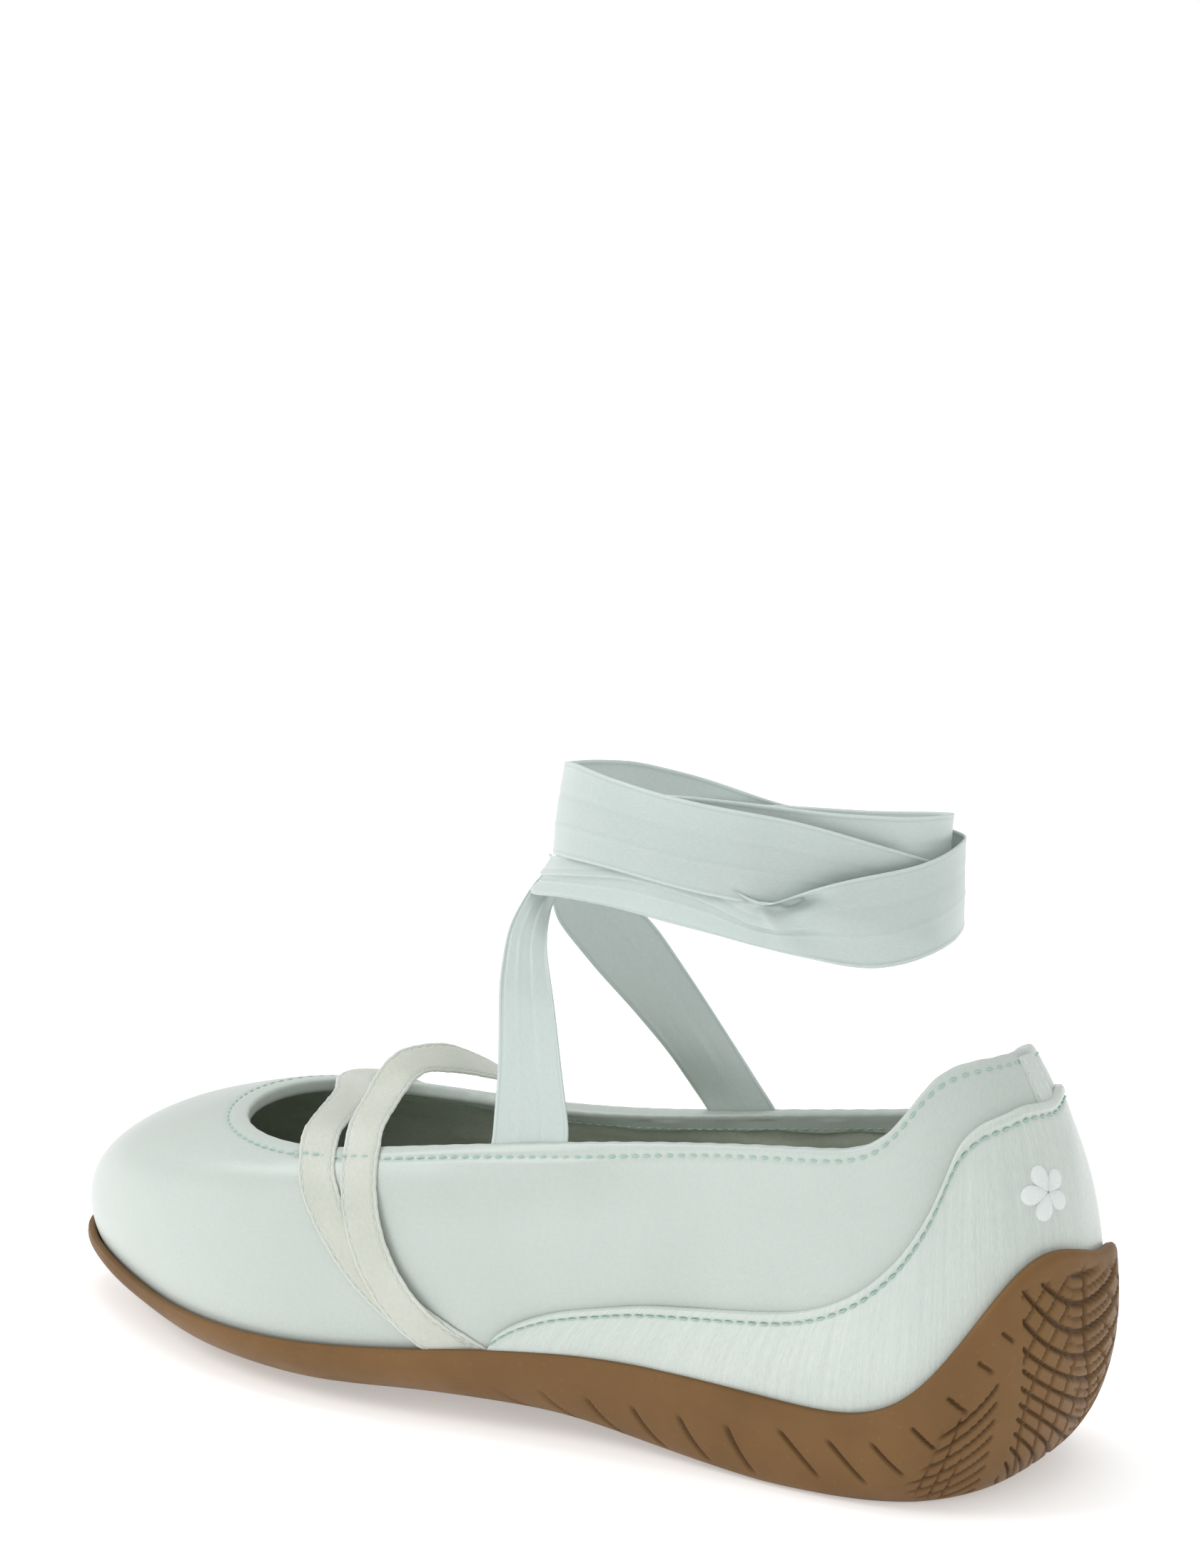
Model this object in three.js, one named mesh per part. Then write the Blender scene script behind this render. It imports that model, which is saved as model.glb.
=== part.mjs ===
// Ballet sneaker: a low satin slipper on a gum rubber cup sole, with two instep straps and a tied ankle ribbon.
// Millimetres, +Z up. The toe points to -X, the outer side of this left shoe faces -Y, and the sole stands
// on z = 0.
// Shapes are written in shoe coordinates: d from the heel towards the toe, y towards the big-toe side, z up.
import * as THREE from 'three';

// Driving sizes of the last and of the layers.
const LAST_LENGTH = 246;
const LAST_WIDTH = 80;
const LAST_HEIGHT = 87;
const GAP = 0.3;
const UPPER_T = 0.9;
const STIFFENER_T = 0.6;
const LINING_T = 0.6;
const COLLAR_PAD_T = 2.0;
const OVERLAY_T = 0.8;
const BINDING_H = 1.5;

// Driving sizes of the bottom.
const BOARD_T = 1.5;
const SOCK_FOAM_T = 3.0;
const SOCK_COVER_T = 0.8;
const RECESS_DEPTH = 5.0;
const FILLER_DEPTH = 2.6;
const INSOLE_INSET = 3.0;

// Driving sizes of the straps and ribbons.
const STRAP_W = 8.5;
const STRAP_T = 0.8;
const LEG_T = 0.6;
const RIBBON_W = 18;
const RIBBON_T = 0.5;
const LOOP_LENGTH = 94;
const LOOP_WIDTH = 62;
const LOOP_CENTRE = 80;
const LOWER_TURN_Z = 111.5;
const LOWER_TURN_W = 12;
const UPPER_TURN_Z = 126;
const UPPER_TURN_W = 16;

// The last that the stations below were drawn on; the driving sizes scale it.
const SAMPLE = { length: 246, width: 80, height: 87 };
const ALONG = LAST_LENGTH / SAMPLE.length;
const ACROSS = LAST_WIDTH / SAMPLE.width;
const UPWARD = LAST_HEIGHT / SAMPLE.height;

// Stations round the shoe: heel back, outer side, toe tip, inner side. Each row holds the feather edge
// (d, y, z), the topline (d, y, z), how the wall leaves and meets them (out, up, out, down), the height
// and lip of the rubber, the tread edge (d, y, z), and how the rubber's side leaves and meets its edges.
const STATIONS = [
  [3, 0, 14, 15, 0, 85.5, 7, 22, 14, 20, 46, 3.6, 10, 0, 3, 11, 8, 3, 20],
  [7, -18, 14, 16, -10, 85.5, 7, 22, 12, 20, 45, 3.4, 13, -16, 1, 11, 5, 3, 20],
  [22, -28, 14, 24, -20, 83.5, 7, 20, 5, 18, 23, 3.0, 27, -30, 0, 4, 2, 3, 10],
  [46, -29, 14, 31, -26, 68, 7, 18, 2, 16, 18, 2.4, 50, -32, 0, 3, 1, 2, 6],
  [78, -29.5, 14, 47, -27, 67, 7, 17, 2, 16, 20, 2.0, 80, -27, 1.4, 6, 1, 1, 6],
  [107, -31, 12.5, 65, -28, 65.5, 6, 18, 3, 15, 19, 1.8, 107, -24, 4.2, 8, 1, 1, 6],
  [135, -35, 10, 88, -28.5, 62.5, 6, 17, 4, 14, 15, 1.8, 136, -26, 3.2, 9, 1, 1, 5],
  [162, -37.5, 8, 113, -29, 58.5, 7, 17, 7, 12, 12, 1.8, 162, -27, 0.6, 9, 1, 1, 4],
  [188, -32, 7.5, 140, -30, 54, 8, 17, 12, 10, 11, 1.8, 186, -22, 1.0, 8, 1, 1, 4],
  [210, -20, 8, 165, -32, 50, 9, 17, 18, 6, 11, 1.8, 207, -14, 3.5, 7, 1, 1, 3],
  [232, -6, 9, 189, -21, 50, 9, 18, 26, 3, 13, 1.8, 226, -4, 6.0, 6, 1, 1, 3],
  [246, 8, 9.5, 197, 2, 51, 9, 19, 30, 2, 14, 1.8, 239, 8, 7.6, 6, 1, 1, 3],
  [240, 24, 9, 190, 23, 50, 9, 18, 21, 3, 13, 1.8, 232, 20, 6.0, 6, 1, 1, 3],
  [222, 34, 8, 165, 31, 48.5, 9, 17, 15, 6, 11, 1.8, 217, 27, 3.0, 7, 1, 1, 3],
  [197, 39, 7.5, 140, 29.5, 49, 8, 17, 11, 10, 11, 1.8, 194, 30, 0.8, 8, 1, 1, 4],
  [168, 38.5, 8, 113, 28.5, 51.5, 7, 17, 7, 12, 12, 1.8, 167, 29, 0.6, 9, 1, 1, 4],
  [139, 32, 10, 88, 27.5, 55.5, 6, 17, 4, 14, 15, 1.8, 139, 23, 3.2, 9, 1, 1, 5],
  [108, 26, 12.5, 65, 27, 59, 6, 18, 3, 15, 19, 1.8, 108, 19, 4.2, 8, 1, 1, 6],
  [78, 25, 14, 47, 26, 62, 7, 17, 2, 16, 20, 2.0, 80, 21, 1.4, 7, 1, 1, 6],
  [46, 27, 14, 31, 24.5, 66, 7, 18, 2, 16, 18, 2.4, 50, 29, 0, 4, 1, 2, 6],
  [22, 26, 14, 24, 18, 83, 7, 20, 5, 18, 23, 3.0, 27, 28, 0, 4, 2, 3, 10],
  [7, 17, 14, 16, 9, 85.5, 7, 22, 12, 20, 45, 3.4, 13, 15, 1, 11, 5, 3, 20],
];
// Facets: every layer shares these steps round the shoe and up the wall, so that nested faces stay parallel.
const ROUND = 66;
const RISE = 9;

const scaled = (row, at) => [row[at] * ALONG, row[at + 1] * ACROSS, row[at + 2] * UPWARD];
const FEATHER = STATIONS.map((row) => scaled(row, 0));
const TOPLINE = STATIONS.map((row) => scaled(row, 3));
const WALL = STATIONS.map((row) => row.slice(6, 10));
const RUBBER = STATIONS.map((row) => [row[10] * UPWARD, row[11]]);
const TREAD = STATIONS.map((row) => scaled(row, 12));
const SIDE = STATIONS.map((row) => row.slice(15, 19));

// A closed uniform cubic B-spline through the stations, q from 0 to 1 round the shoe.
function round(rows, q) {
  const s = (q - Math.floor(q)) * rows.length;
  const i = Math.floor(s);
  const t = s - i;
  const w = [(1 - t) ** 3, 3 * t ** 3 - 6 * t ** 2 + 4, 1 + 3 * t + 3 * t ** 2 - 3 * t ** 3, t ** 3];
  const pick = [-1, 0, 1, 2].map((k) => rows[(i + k + rows.length) % rows.length]);
  return rows[0].map((_, c) => w.reduce((sum, weight, k) => sum + weight * pick[k][c], 0) / 6);
}

const vec = (a) => new THREE.Vector3(a[0], a[1], a[2]);
const mix = (a, b, t) => a + (b - a) * t;
const clamp01 = (t) => Math.min(1, Math.max(0, t));
const smooth = (a, b, t) => {
  const s = clamp01((t - a) / (b - a));
  return s * s * (3 - 2 * s);
};

function bezier(p0, p1, p2, p3, t) {
  const out = p0.clone().multiplyScalar((1 - t) ** 3);
  out.addScaledVector(p1, 3 * (1 - t) ** 2 * t);
  out.addScaledVector(p2, 3 * (1 - t) * t * t);
  return out.addScaledVector(p3, t ** 3);
}

// The level direction that leaves the shoe at q, square to the feather edge in plan.
function outward(q) {
  const ahead = vec(round(FEATHER, q + 1e-4)).sub(vec(round(FEATHER, q - 1e-4)));
  return new THREE.Vector3(ahead.y, -ahead.x, 0).normalize();
}

// The inner face of the upper: q round the shoe, h from the feather edge (0) to the topline (1).
function wall(q, h) {
  const low = vec(round(FEATHER, q));
  const high = vec(round(TOPLINE, q));
  const [lowOut, lowUp, highOut, highDown] = round(WALL, q);
  const out = outward(q);
  const p1 = low.clone().addScaledVector(out, lowOut);
  const p2 = high.clone().addScaledVector(out, highOut);
  p1.z += lowUp;
  p2.z -= highDown;
  return bezier(low, p1, p2, high, h);
}

// A point at a distance outside (or inside) the wall, along its normal.
function layer(q, h, distance) {
  const step = 1e-4;
  const round1 = wall(q + step, h).sub(wall(q - step, h));
  const rise = wall(q, Math.min(1, h + step)).sub(wall(q, Math.max(0, h - step)));
  return wall(q, h).addScaledVector(round1.cross(rise).normalize(), distance);
}

// The h at which the wall reaches a height z, low on the wall.
function heightOnWall(q, z) {
  let low = 0;
  let high = 0.9;
  for (let i = 0; i < 30; i += 1) {
    const middle = (low + high) / 2;
    if (wall(q, middle).z < z) low = middle;
    else high = middle;
  }
  return (low + high) / 2;
}

// The (q, h) of a place on one side wall, given its d and z, found by Newton steps.
function placeOnWall(side, d, z) {
  let q = side < 0 ? 0.25 : 0.75;
  let h = 0.5;
  for (let i = 0; i < 40; i += 1) {
    const here = wall(q, h);
    const byQ = wall(q + 1e-4, h).sub(here).multiplyScalar(1e4);
    const byH = wall(q, h + 1e-4).sub(here).multiplyScalar(1e4);
    const det = byQ.x * byH.z - byH.x * byQ.z;
    const dd = d - here.x;
    const dz = z - here.z;
    q += clampStep((dd * byH.z - dz * byH.x) / det, 0.04);
    h += clampStep((dz * byQ.x - dd * byQ.z) / det, 0.15);
  }
  return [q, h];
}
const clampStep = (value, most) => Math.max(-most, Math.min(most, value));

// A closed solid gathered from quads; its vertices are welded and it is turned to face out.
class Solid {
  constructor() {
    this.index = new Map();
    this.points = [];
    this.faces = [];
  }

  at(p) {
    const key = [p.x, p.y, p.z].map((c) => Math.round(c * 5e3)).join(',');
    if (!this.index.has(key)) {
      this.index.set(key, this.points.length);
      this.points.push(p.clone());
    }
    return this.index.get(key);
  }

  triangle(a, b, c) {
    const [i, j, k] = [this.at(a), this.at(b), this.at(c)];
    if (i !== j && j !== k && k !== i) this.faces.push([i, j, k]);
  }

  quad(a, b, c, d) {
    this.triangle(a, b, c);
    this.triangle(a, c, d);
  }

  volume() {
    let sum = 0;
    for (const [i, j, k] of this.faces) {
      sum += this.points[i].dot(this.points[j].clone().cross(this.points[k]));
    }
    return sum / 6;
  }

  // Shoe coordinates become part coordinates here: X is -d.
  geometry() {
    const turned = this.volume() > 0;
    const geometry = new THREE.BufferGeometry();
    const positions = this.points.flatMap((p) => [-p.x, p.y, p.z]);
    const indices = this.faces.flatMap(([i, j, k]) => (turned ? [i, k, j] : [i, j, k]));
    geometry.setAttribute('position', new THREE.Float32BufferAttribute(positions, 3));
    geometry.setIndex(indices);
    geometry.computeVertexNormals();
    return geometry;
  }
}

const grid = (surface, nu, nv) => Array.from({ length: nu + 1 }, (_, i) => (
  Array.from({ length: nv + 1 }, (__, j) => surface(i / nu, j / nv))));

// A sheet of given outer and inner faces, closed round its edges. A ring joins its own ends.
function slab(outer, inner, nu, nv, ring = false) {
  const solid = new Solid();
  const a = grid(outer, nu, nv);
  const b = grid(inner, nu, nv);
  if (ring) {
    a[nu] = a[0];
    b[nu] = b[0];
  }
  for (let i = 0; i < nu; i += 1) {
    for (let j = 0; j < nv; j += 1) {
      solid.quad(a[i][j], a[i + 1][j], a[i + 1][j + 1], a[i][j + 1]);
      solid.quad(b[i][j], b[i][j + 1], b[i + 1][j + 1], b[i + 1][j]);
    }
    solid.quad(a[i][0], b[i][0], b[i + 1][0], a[i + 1][0]);
    solid.quad(a[i][nv], a[i + 1][nv], b[i + 1][nv], b[i][nv]);
  }
  for (let j = 0; j < nv && !ring; j += 1) {
    solid.quad(a[0][j], a[0][j + 1], b[0][j + 1], b[0][j]);
    solid.quad(a[nu][j], b[nu][j], b[nu][j + 1], a[nu][j + 1]);
  }
  return solid;
}

// A band of the wall from q0 to q1, between two heights and two distances that may depend on q and h.
function wallBand({ q0 = 0, q1 = 1, low, high, outer, inner, nq, nh }) {
  const h = (q, v) => mix(low(q), high(q), v);
  const face = (distance) => (u, v) => {
    const q = mix(q0, q1, u);
    return layer(q, h(q, v), distance(q, h(q, v)));
  };
  return slab(face(outer), face(inner), nq, nh, q1 - q0 === 1);
}

const fixed = (value) => () => value;

// How far inside the wall the lining lies: it stands off the stiffeners, and off the foam of the collar.
function collarPad(q, h) {
  const side = Math.abs(q - Math.round(q));
  return COLLAR_PAD_T * (1 - smooth(0.06, 0.15, side)) * smooth(0.5, 0.66, h) * (1 - smooth(0.82, 0.97, h));
}
const liningFace = (q, h) => -(STIFFENER_T + 2 * GAP + collarPad(q, h));
const liningBack = (q, h) => liningFace(q, h) - LINING_T;

// The rubber cup: its edge, its side, and what it holds.
function rubberEdge(q) {
  const [z, lip] = round(RUBBER, q);
  const h = heightOnWall(q, z);
  return { h, inner: layer(q, h, UPPER_T + GAP), outer: layer(q, h, UPPER_T + GAP + lip) };
}

// The tread's edge, pressed flat where the heel and the ball stand on the ground.
const FLATTEN = 0.35;
function treadEdge(q) {
  const edge = vec(round(TREAD, q));
  edge.z = Math.max(0, edge.z - FLATTEN);
  return edge;
}

function rubberSide(q, v) {
  const low = treadEdge(q);
  const high = rubberEdge(q).outer;
  const [lowOut, lowUp, highOut, highDown] = round(SIDE, q);
  const out = outward(q);
  const p1 = low.clone().addScaledVector(out, lowOut);
  const p2 = high.clone().addScaledVector(out, highOut);
  p1.z += lowUp;
  p2.z -= highDown;
  return bezier(low, p1, p2, high, v);
}

// A ring of points inset from the feather edge towards the shoe's middle, at a depth below it.
function insetRing(inset, depth) {
  return Array.from({ length: ROUND }, (_, i) => {
    const q = i / ROUND;
    const p = vec(round(FEATHER, q)).addScaledVector(outward(q), -inset);
    p.z -= depth;
    return p;
  });
}

// Closes a ring with strips across the shoe, from its outer side to its inner side.
function ladder(solid, ring, columns, upwards) {
  const half = ring.length / 2;
  const rung = (k, j) => ring[k].clone().lerp(ring[(ring.length - k) % ring.length], j / columns);
  for (let k = 0; k < half; k += 1) {
    for (let j = 0; j < columns; j += 1) {
      const corners = [rung(k + 1, j), rung(k, j), rung(k, j + 1), rung(k + 1, j + 1)];
      if (upwards) corners.reverse();
      solid.quad(...corners);
    }
  }
}

function cupSole() {
  const solid = new Solid();
  const qs = Array.from({ length: ROUND }, (_, i) => i / ROUND);
  const rings = [0, 0.16, 0.36, 0.6, 0.8, 1].map((v) => qs.map((q) => rubberSide(q, v)));
  const edge = qs.map(rubberEdge);
  for (const part of [1, 0.66, 0.33]) {
    rings.push(qs.map((q, i) => layer(q, edge[i].h * part, UPPER_T + GAP)));
  }
  const seat = qs.map((q) => {
    const p = layer(q, 0, UPPER_T + GAP);
    p.z -= GAP;
    return p;
  });
  rings.push(seat, insetRing(INSOLE_INSET, GAP));
  rings.push(qs.map((q, i) => {
    const p = insetRing(INSOLE_INSET, GAP)[i];
    p.z -= recessDepth(p.x);
    return p;
  }));
  for (let r = 0; r + 1 < rings.length; r += 1) {
    for (let i = 0; i < ROUND; i += 1) {
      const next = (i + 1) % ROUND;
      solid.quad(rings[r][i], rings[r][next], rings[r + 1][next], rings[r + 1][i]);
    }
  }
  ladder(solid, rings[0], 4, false);
  ladder(solid, rings[rings.length - 1], 4, true);
  return solid;
}

// The cup's floor is deep under the heel wedge, shallow under the forefoot filler, and flat at the toe.
const WEDGE_END = 98 * ALONG;
const FILLER_START = 112 * ALONG;
const FILLER_END = 196 * ALONG;
const TOE_FLOOR = 224 * ALONG;
const TOE_DEPTH = 0.4;
const recessDepth = (d) => mix(
  mix(RECESS_DEPTH, FILLER_DEPTH, smooth(WEDGE_END, FILLER_START, d)),
  TOE_DEPTH,
  smooth(FILLER_END + 12, TOE_FLOOR, d),
);

// A plate that fills the shoe's bottom from one q to another, between two depths below the feather edge.
function bottomPlate({ from, to, inset, top, bottom, columns = 4, steps = 26 }) {
  const face = (depth) => (u, v) => {
    const q = mix(from, to, u);
    const rim = (at) => vec(round(FEATHER, at)).addScaledVector(outward(at), -inset);
    const p = rim(q).lerp(rim(1 - q), v);
    p.z -= depth(p.x);
    return p;
  };
  return slab(face(top), face(bottom), steps, columns);
}

// The d of the feather edge, searched for the q that reaches it on the outer side.
function featherAt(d) {
  let low = 0;
  let high = 0.5;
  for (let i = 0; i < 40; i += 1) {
    const middle = (low + high) / 2;
    if (round(FEATHER, middle)[0] < d) low = middle;
    else high = middle;
  }
  return low;
}

// The topline's q and height on one side, at a given d.
function toplineAt(side, d) {
  let low = side < 0 ? 0.09 : 0.91;
  let high = 0.5;
  for (let i = 0; i < 40; i += 1) {
    const middle = (low + high) / 2;
    if (round(TOPLINE, middle)[0] < d) low = middle;
    else high = middle;
  }
  return { q: low, point: vec(round(TOPLINE, low)) };
}

// A flat strap or ribbon: a box section swept along stations of centre, width, and width direction.
function strip(stations, thickness) {
  const solid = new Solid();
  const sections = stations.map(({ centre, across, width, along }, i) => {
    const before = stations[Math.max(0, i - 1)].centre;
    const after = stations[Math.min(stations.length - 1, i + 1)].centre;
    const direction = along ? along.clone() : after.clone().sub(before).normalize();
    const face = direction.cross(across).normalize();
    const corner = (w, t) => (
      centre.clone().addScaledVector(across, w * width).addScaledVector(face, t * thickness));
    return [corner(-0.5, -0.5), corner(0.5, -0.5), corner(0.5, 0.5), corner(-0.5, 0.5)];
  });
  for (let i = 0; i + 1 < sections.length; i += 1) {
    for (let k = 0; k < 4; k += 1) {
      const next = (k + 1) % 4;
      solid.quad(sections[i][k], sections[i][next], sections[i + 1][next], sections[i + 1][k]);
    }
  }
  const [first, last] = [sections[0], sections[sections.length - 1]];
  solid.quad(first[3], first[2], first[1], first[0]);
  solid.quad(last[0], last[1], last[2], last[3]);
  return solid;
}

// Stations along a smooth curve, with a half-round end before its first centre.
function stationsAlong(centres, acrosses, widths, steps) {
  const path = new THREE.CatmullRomCurve3(centres, false, 'centripetal');
  const turn = new THREE.CatmullRomCurve3(acrosses, false, 'centripetal');
  const sizes = widths.map((width) => new THREE.Vector3(width, 0, 0));
  const size = new THREE.CatmullRomCurve3(sizes, false, 'centripetal');
  const stations = Array.from({ length: steps + 1 }, (_, i) => ({
    centre: path.getPoint(i / steps),
    across: turn.getPoint(i / steps).normalize(),
    width: size.getPoint(i / steps).x,
  }));
  const roundOff = (from, beyond) => [0.98, 0.85, 0.6, 0.3].map((part) => ({
    centre: from.centre.clone().addScaledVector(beyond, (part * from.width) / 2),
    across: from.across,
    width: from.width * Math.sqrt(1 - part * part),
  }));
  const head = stations[0];
  return [...roundOff(head, path.getTangent(0).negate()), ...stations];
}

// Colours and finishes.
const material = (color, roughness) => new THREE.MeshStandardMaterial({ color, roughness });
const SATIN = material('#ccd7d2', 0.38);
const SATIN_EDGE = material('#d6dfda', 0.3);
const RIBBON = material('#cbd8d4', 0.42);
const STRAP = material('#dfe2da', 0.45);
const GUM = material('#876748', 0.62);
const LINING = material('#8f968a', 0.9);
const BOARD = material('#b79c72', 0.9);
const FOAM = material('#d9d6cb', 0.95);
const STIFFENER = material('#e4dfd2', 0.85);

const shoe = new THREE.Group();
function add(name, solid, look) {
  const mesh = new THREE.Mesh(solid.geometry(), look);
  mesh.name = name;
  shoe.add(mesh);
}

// --- Bottom ---
add('outsole', cupSole(), GUM);
add('heel_wedge', bottomPlate({
  from: 0,
  to: featherAt(WEDGE_END - 2),
  inset: INSOLE_INSET + GAP,
  top: fixed(GAP),
  bottom: fixed(RECESS_DEPTH),
  steps: 14,
}), FOAM);
add('forefoot_filler', bottomPlate({
  from: featherAt(FILLER_START + 2),
  to: featherAt(FILLER_END - 2),
  inset: INSOLE_INSET + GAP,
  top: fixed(GAP),
  bottom: fixed(FILLER_DEPTH),
  steps: 12,
}), FOAM);
const insolePlate = (low, thickness) => bottomPlate({
  from: 0,
  to: 0.5,
  inset: INSOLE_INSET + GAP,
  top: fixed(-low - thickness),
  bottom: fixed(-low),
});
const foamLow = BOARD_T + GAP;
const coverLow = foamLow + SOCK_FOAM_T + GAP;
add('lasting_board', insolePlate(0, BOARD_T), BOARD);
add('insole_foam', insolePlate(foamLow, SOCK_FOAM_T), FOAM);
add('insole_cover', insolePlate(coverLow, SOCK_COVER_T), LINING);

// --- Upper and what is inside it ---
const stepQ = (step) => step / ROUND;
const stepH = (step) => step / RISE;
add('upper', wallBand({
  low: fixed(0), high: fixed(1), outer: fixed(UPPER_T), inner: fixed(0), nq: ROUND, nh: RISE,
}), SATIN);
const VAMP_START = 24;
const VAMP_END = 42;
const SEAM = 0.001;
const stiffener = { outer: fixed(-GAP), inner: fixed(-GAP - STIFFENER_T) };
const lining = { low: fixed(0), high: fixed(1), outer: liningFace, inner: liningBack, nh: RISE };
add('vamp_lining', wallBand({
  ...lining,
  q0: stepQ(VAMP_START),
  q1: stepQ(VAMP_END),
  nq: VAMP_END - VAMP_START,
}), LINING);
add('quarter_lining', wallBand({
  ...lining,
  q0: stepQ(VAMP_END - ROUND) + SEAM,
  q1: stepQ(VAMP_START) - SEAM,
  nq: ROUND - VAMP_END + VAMP_START,
}), LINING);
add('toe_puff', wallBand({
  ...stiffener,
  q0: stepQ(27),
  q1: stepQ(39),
  low: fixed(stepH(0)),
  high: fixed(stepH(5)),
  nq: 12,
  nh: 5,
}), STIFFENER);
add('heel_counter', wallBand({
  ...stiffener,
  q0: stepQ(-10),
  q1: stepQ(10),
  low: fixed(stepH(0)),
  high: fixed(stepH(4)),
  nq: 20,
  nh: 4,
}), STIFFENER);
add('collar_foam', wallBand({
  q0: stepQ(-9),
  q1: stepQ(9),
  low: fixed(stepH(5)),
  high: fixed(stepH(8)),
  outer: fixed(-GAP),
  inner: (at, rise) => liningFace(at, rise) + GAP,
  nq: 18,
  nh: 3,
}), FOAM);

// The turned and corded topline edge: a rounded strip that caps the upper and its lining. It leaves the
// inner half open where a ribbon comes up between the two.
const BINDING_LIFT = 0.3;
const RIBBON_SEATS = [{ side: -1, d: 109 * ALONG }, { side: 1, d: 89.5 * ALONG }];
const SLOT_HALF = RIBBON_W / 2 + 1;
const SLOT_END = 1;
const sideOf = (at) => (at < 0.5 ? -1 : 1);
function inSlot(at) {
  const d = round(TOPLINE, at)[0];
  const reach = SLOT_HALF + SLOT_END / 2;
  return RIBBON_SEATS.some((seat) => seat.side === sideOf(at) && Math.abs(d - seat.d) < reach);
}

function binding() {
  const reaches = [-SLOT_HALF - SLOT_END, -SLOT_HALF, SLOT_HALF, SLOT_HALF + SLOT_END];
  const slotEdges = RIBBON_SEATS.flatMap(({ side, d }) => reaches.map((reach) => toplineAt(side, d + reach).q));
  const steps = Array.from({ length: ROUND }, (_, i) => i / ROUND);
  const apart = steps.filter((step) => slotEdges.every((edge) => Math.abs(edge - step) > 0.3 / ROUND));
  const stops = [...apart, ...slotEdges].sort((a, b) => a - b);
  const profile = [[0, 0], [0, 0.6], [0.25, 1], [0.75, 1], [1, 0.6], [1, 0]];
  const point = (at, part, rise) => {
    const p = layer(at, 1, mix(UPPER_T, inSlot(at) ? GAP / 2 : liningBack(at, 1), part));
    p.z += GAP + BINDING_LIFT + rise * BINDING_H;
    return p;
  };
  const stop = (u) => stops[Math.round(u * stops.length) % stops.length];
  const face = (u, v) => point(stop(u), ...profile[Math.round(v * (profile.length - 1))]);
  const under = (u, v) => point(stop(u), v, 0);
  return slab(face, under, stops.length, profile.length - 1, true);
}
add('topline_binding', binding(), SATIN_EDGE);

// --- Heel overlay and back tab ---
const OUTSIDE = UPPER_T + GAP;
// The overlay's top edge on each side, (d, z) from its front point along the side and up the heel.
const OVERLAY_EDGE = [[112, 21.5], [107, 25.5], [98, 28.6], [79, 32.5], [60, 34.5], [48, 36.5], [38, 40.5],
  [30, 47.5], [23.5, 56], [19, 64], [16, 71]];
const OVERLAY_BACK = 0.87;
const OVERLAY_STEPS = 16;
const overlaySide = (side) => OVERLAY_EDGE.map(([d, z]) => placeOnWall(side, d * ALONG, z * UPWARD));
const overlayPath = [
  ...overlaySide(1).map(([at, rise]) => [at - 1, rise]),
  [0, OVERLAY_BACK],
  ...overlaySide(-1).reverse(),
];
function overlayTop(at) {
  const next = overlayPath.findIndex(([place]) => place >= at);
  if (next <= 0) return overlayPath[next === 0 ? 0 : overlayPath.length - 1][1];
  const [[q0, h0], [q1, h1]] = [overlayPath[next - 1], overlayPath[next]];
  return mix(h0, h1, (at - q0) / (q1 - q0));
}
const aboveRubber = (at) => rubberEdge(at).h + 0.012;
add('heel_overlay', wallBand({
  q0: stepQ(-OVERLAY_STEPS),
  q1: stepQ(OVERLAY_STEPS),
  low: aboveRubber,
  high: (at) => Math.max(aboveRubber(at) + 0.02, overlayTop(at)),
  outer: fixed(OUTSIDE + OVERLAY_T),
  inner: fixed(OUTSIDE),
  nq: 2 * OVERLAY_STEPS,
  nh: 5,
}), SATIN_EDGE);
add('back_tab', wallBand({
  q0: stepQ(-1),
  q1: stepQ(1),
  low: fixed(OVERLAY_BACK + 0.015),
  high: fixed(0.985),
  outer: fixed(OUTSIDE + OVERLAY_T),
  inner: fixed(OUTSIDE),
  nq: 2,
  nh: 2,
}), SATIN_EDGE);

// A small five-petalled blossom stands on the overlay near the back.
const BLOSSOM = { q: 0.028, h: 0.66, radius: 4.5, thickness: 0.4 };
function blossom() {
  const perQ = wall(BLOSSOM.q + 1e-3, BLOSSOM.h).distanceTo(wall(BLOSSOM.q, BLOSSOM.h)) * 1e3;
  const perH = wall(BLOSSOM.q, BLOSSOM.h + 1e-3).distanceTo(wall(BLOSSOM.q, BLOSSOM.h)) * 1e3;
  const face = (distance) => (u, v) => {
    const angle = u * 2 * Math.PI;
    const reach = v * BLOSSOM.radius * (0.78 + 0.22 * Math.cos(5 * angle));
    return layer(
      BLOSSOM.q + (reach * Math.cos(angle)) / perQ,
      BLOSSOM.h + (reach * Math.sin(angle)) / perH,
      distance,
    );
  };
  const base = OUTSIDE + OVERLAY_T + GAP;
  return slab(face(base + BLOSSOM.thickness), face(base), 30, 1, true);
}
add('heel_blossom', blossom(), STRAP);

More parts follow.
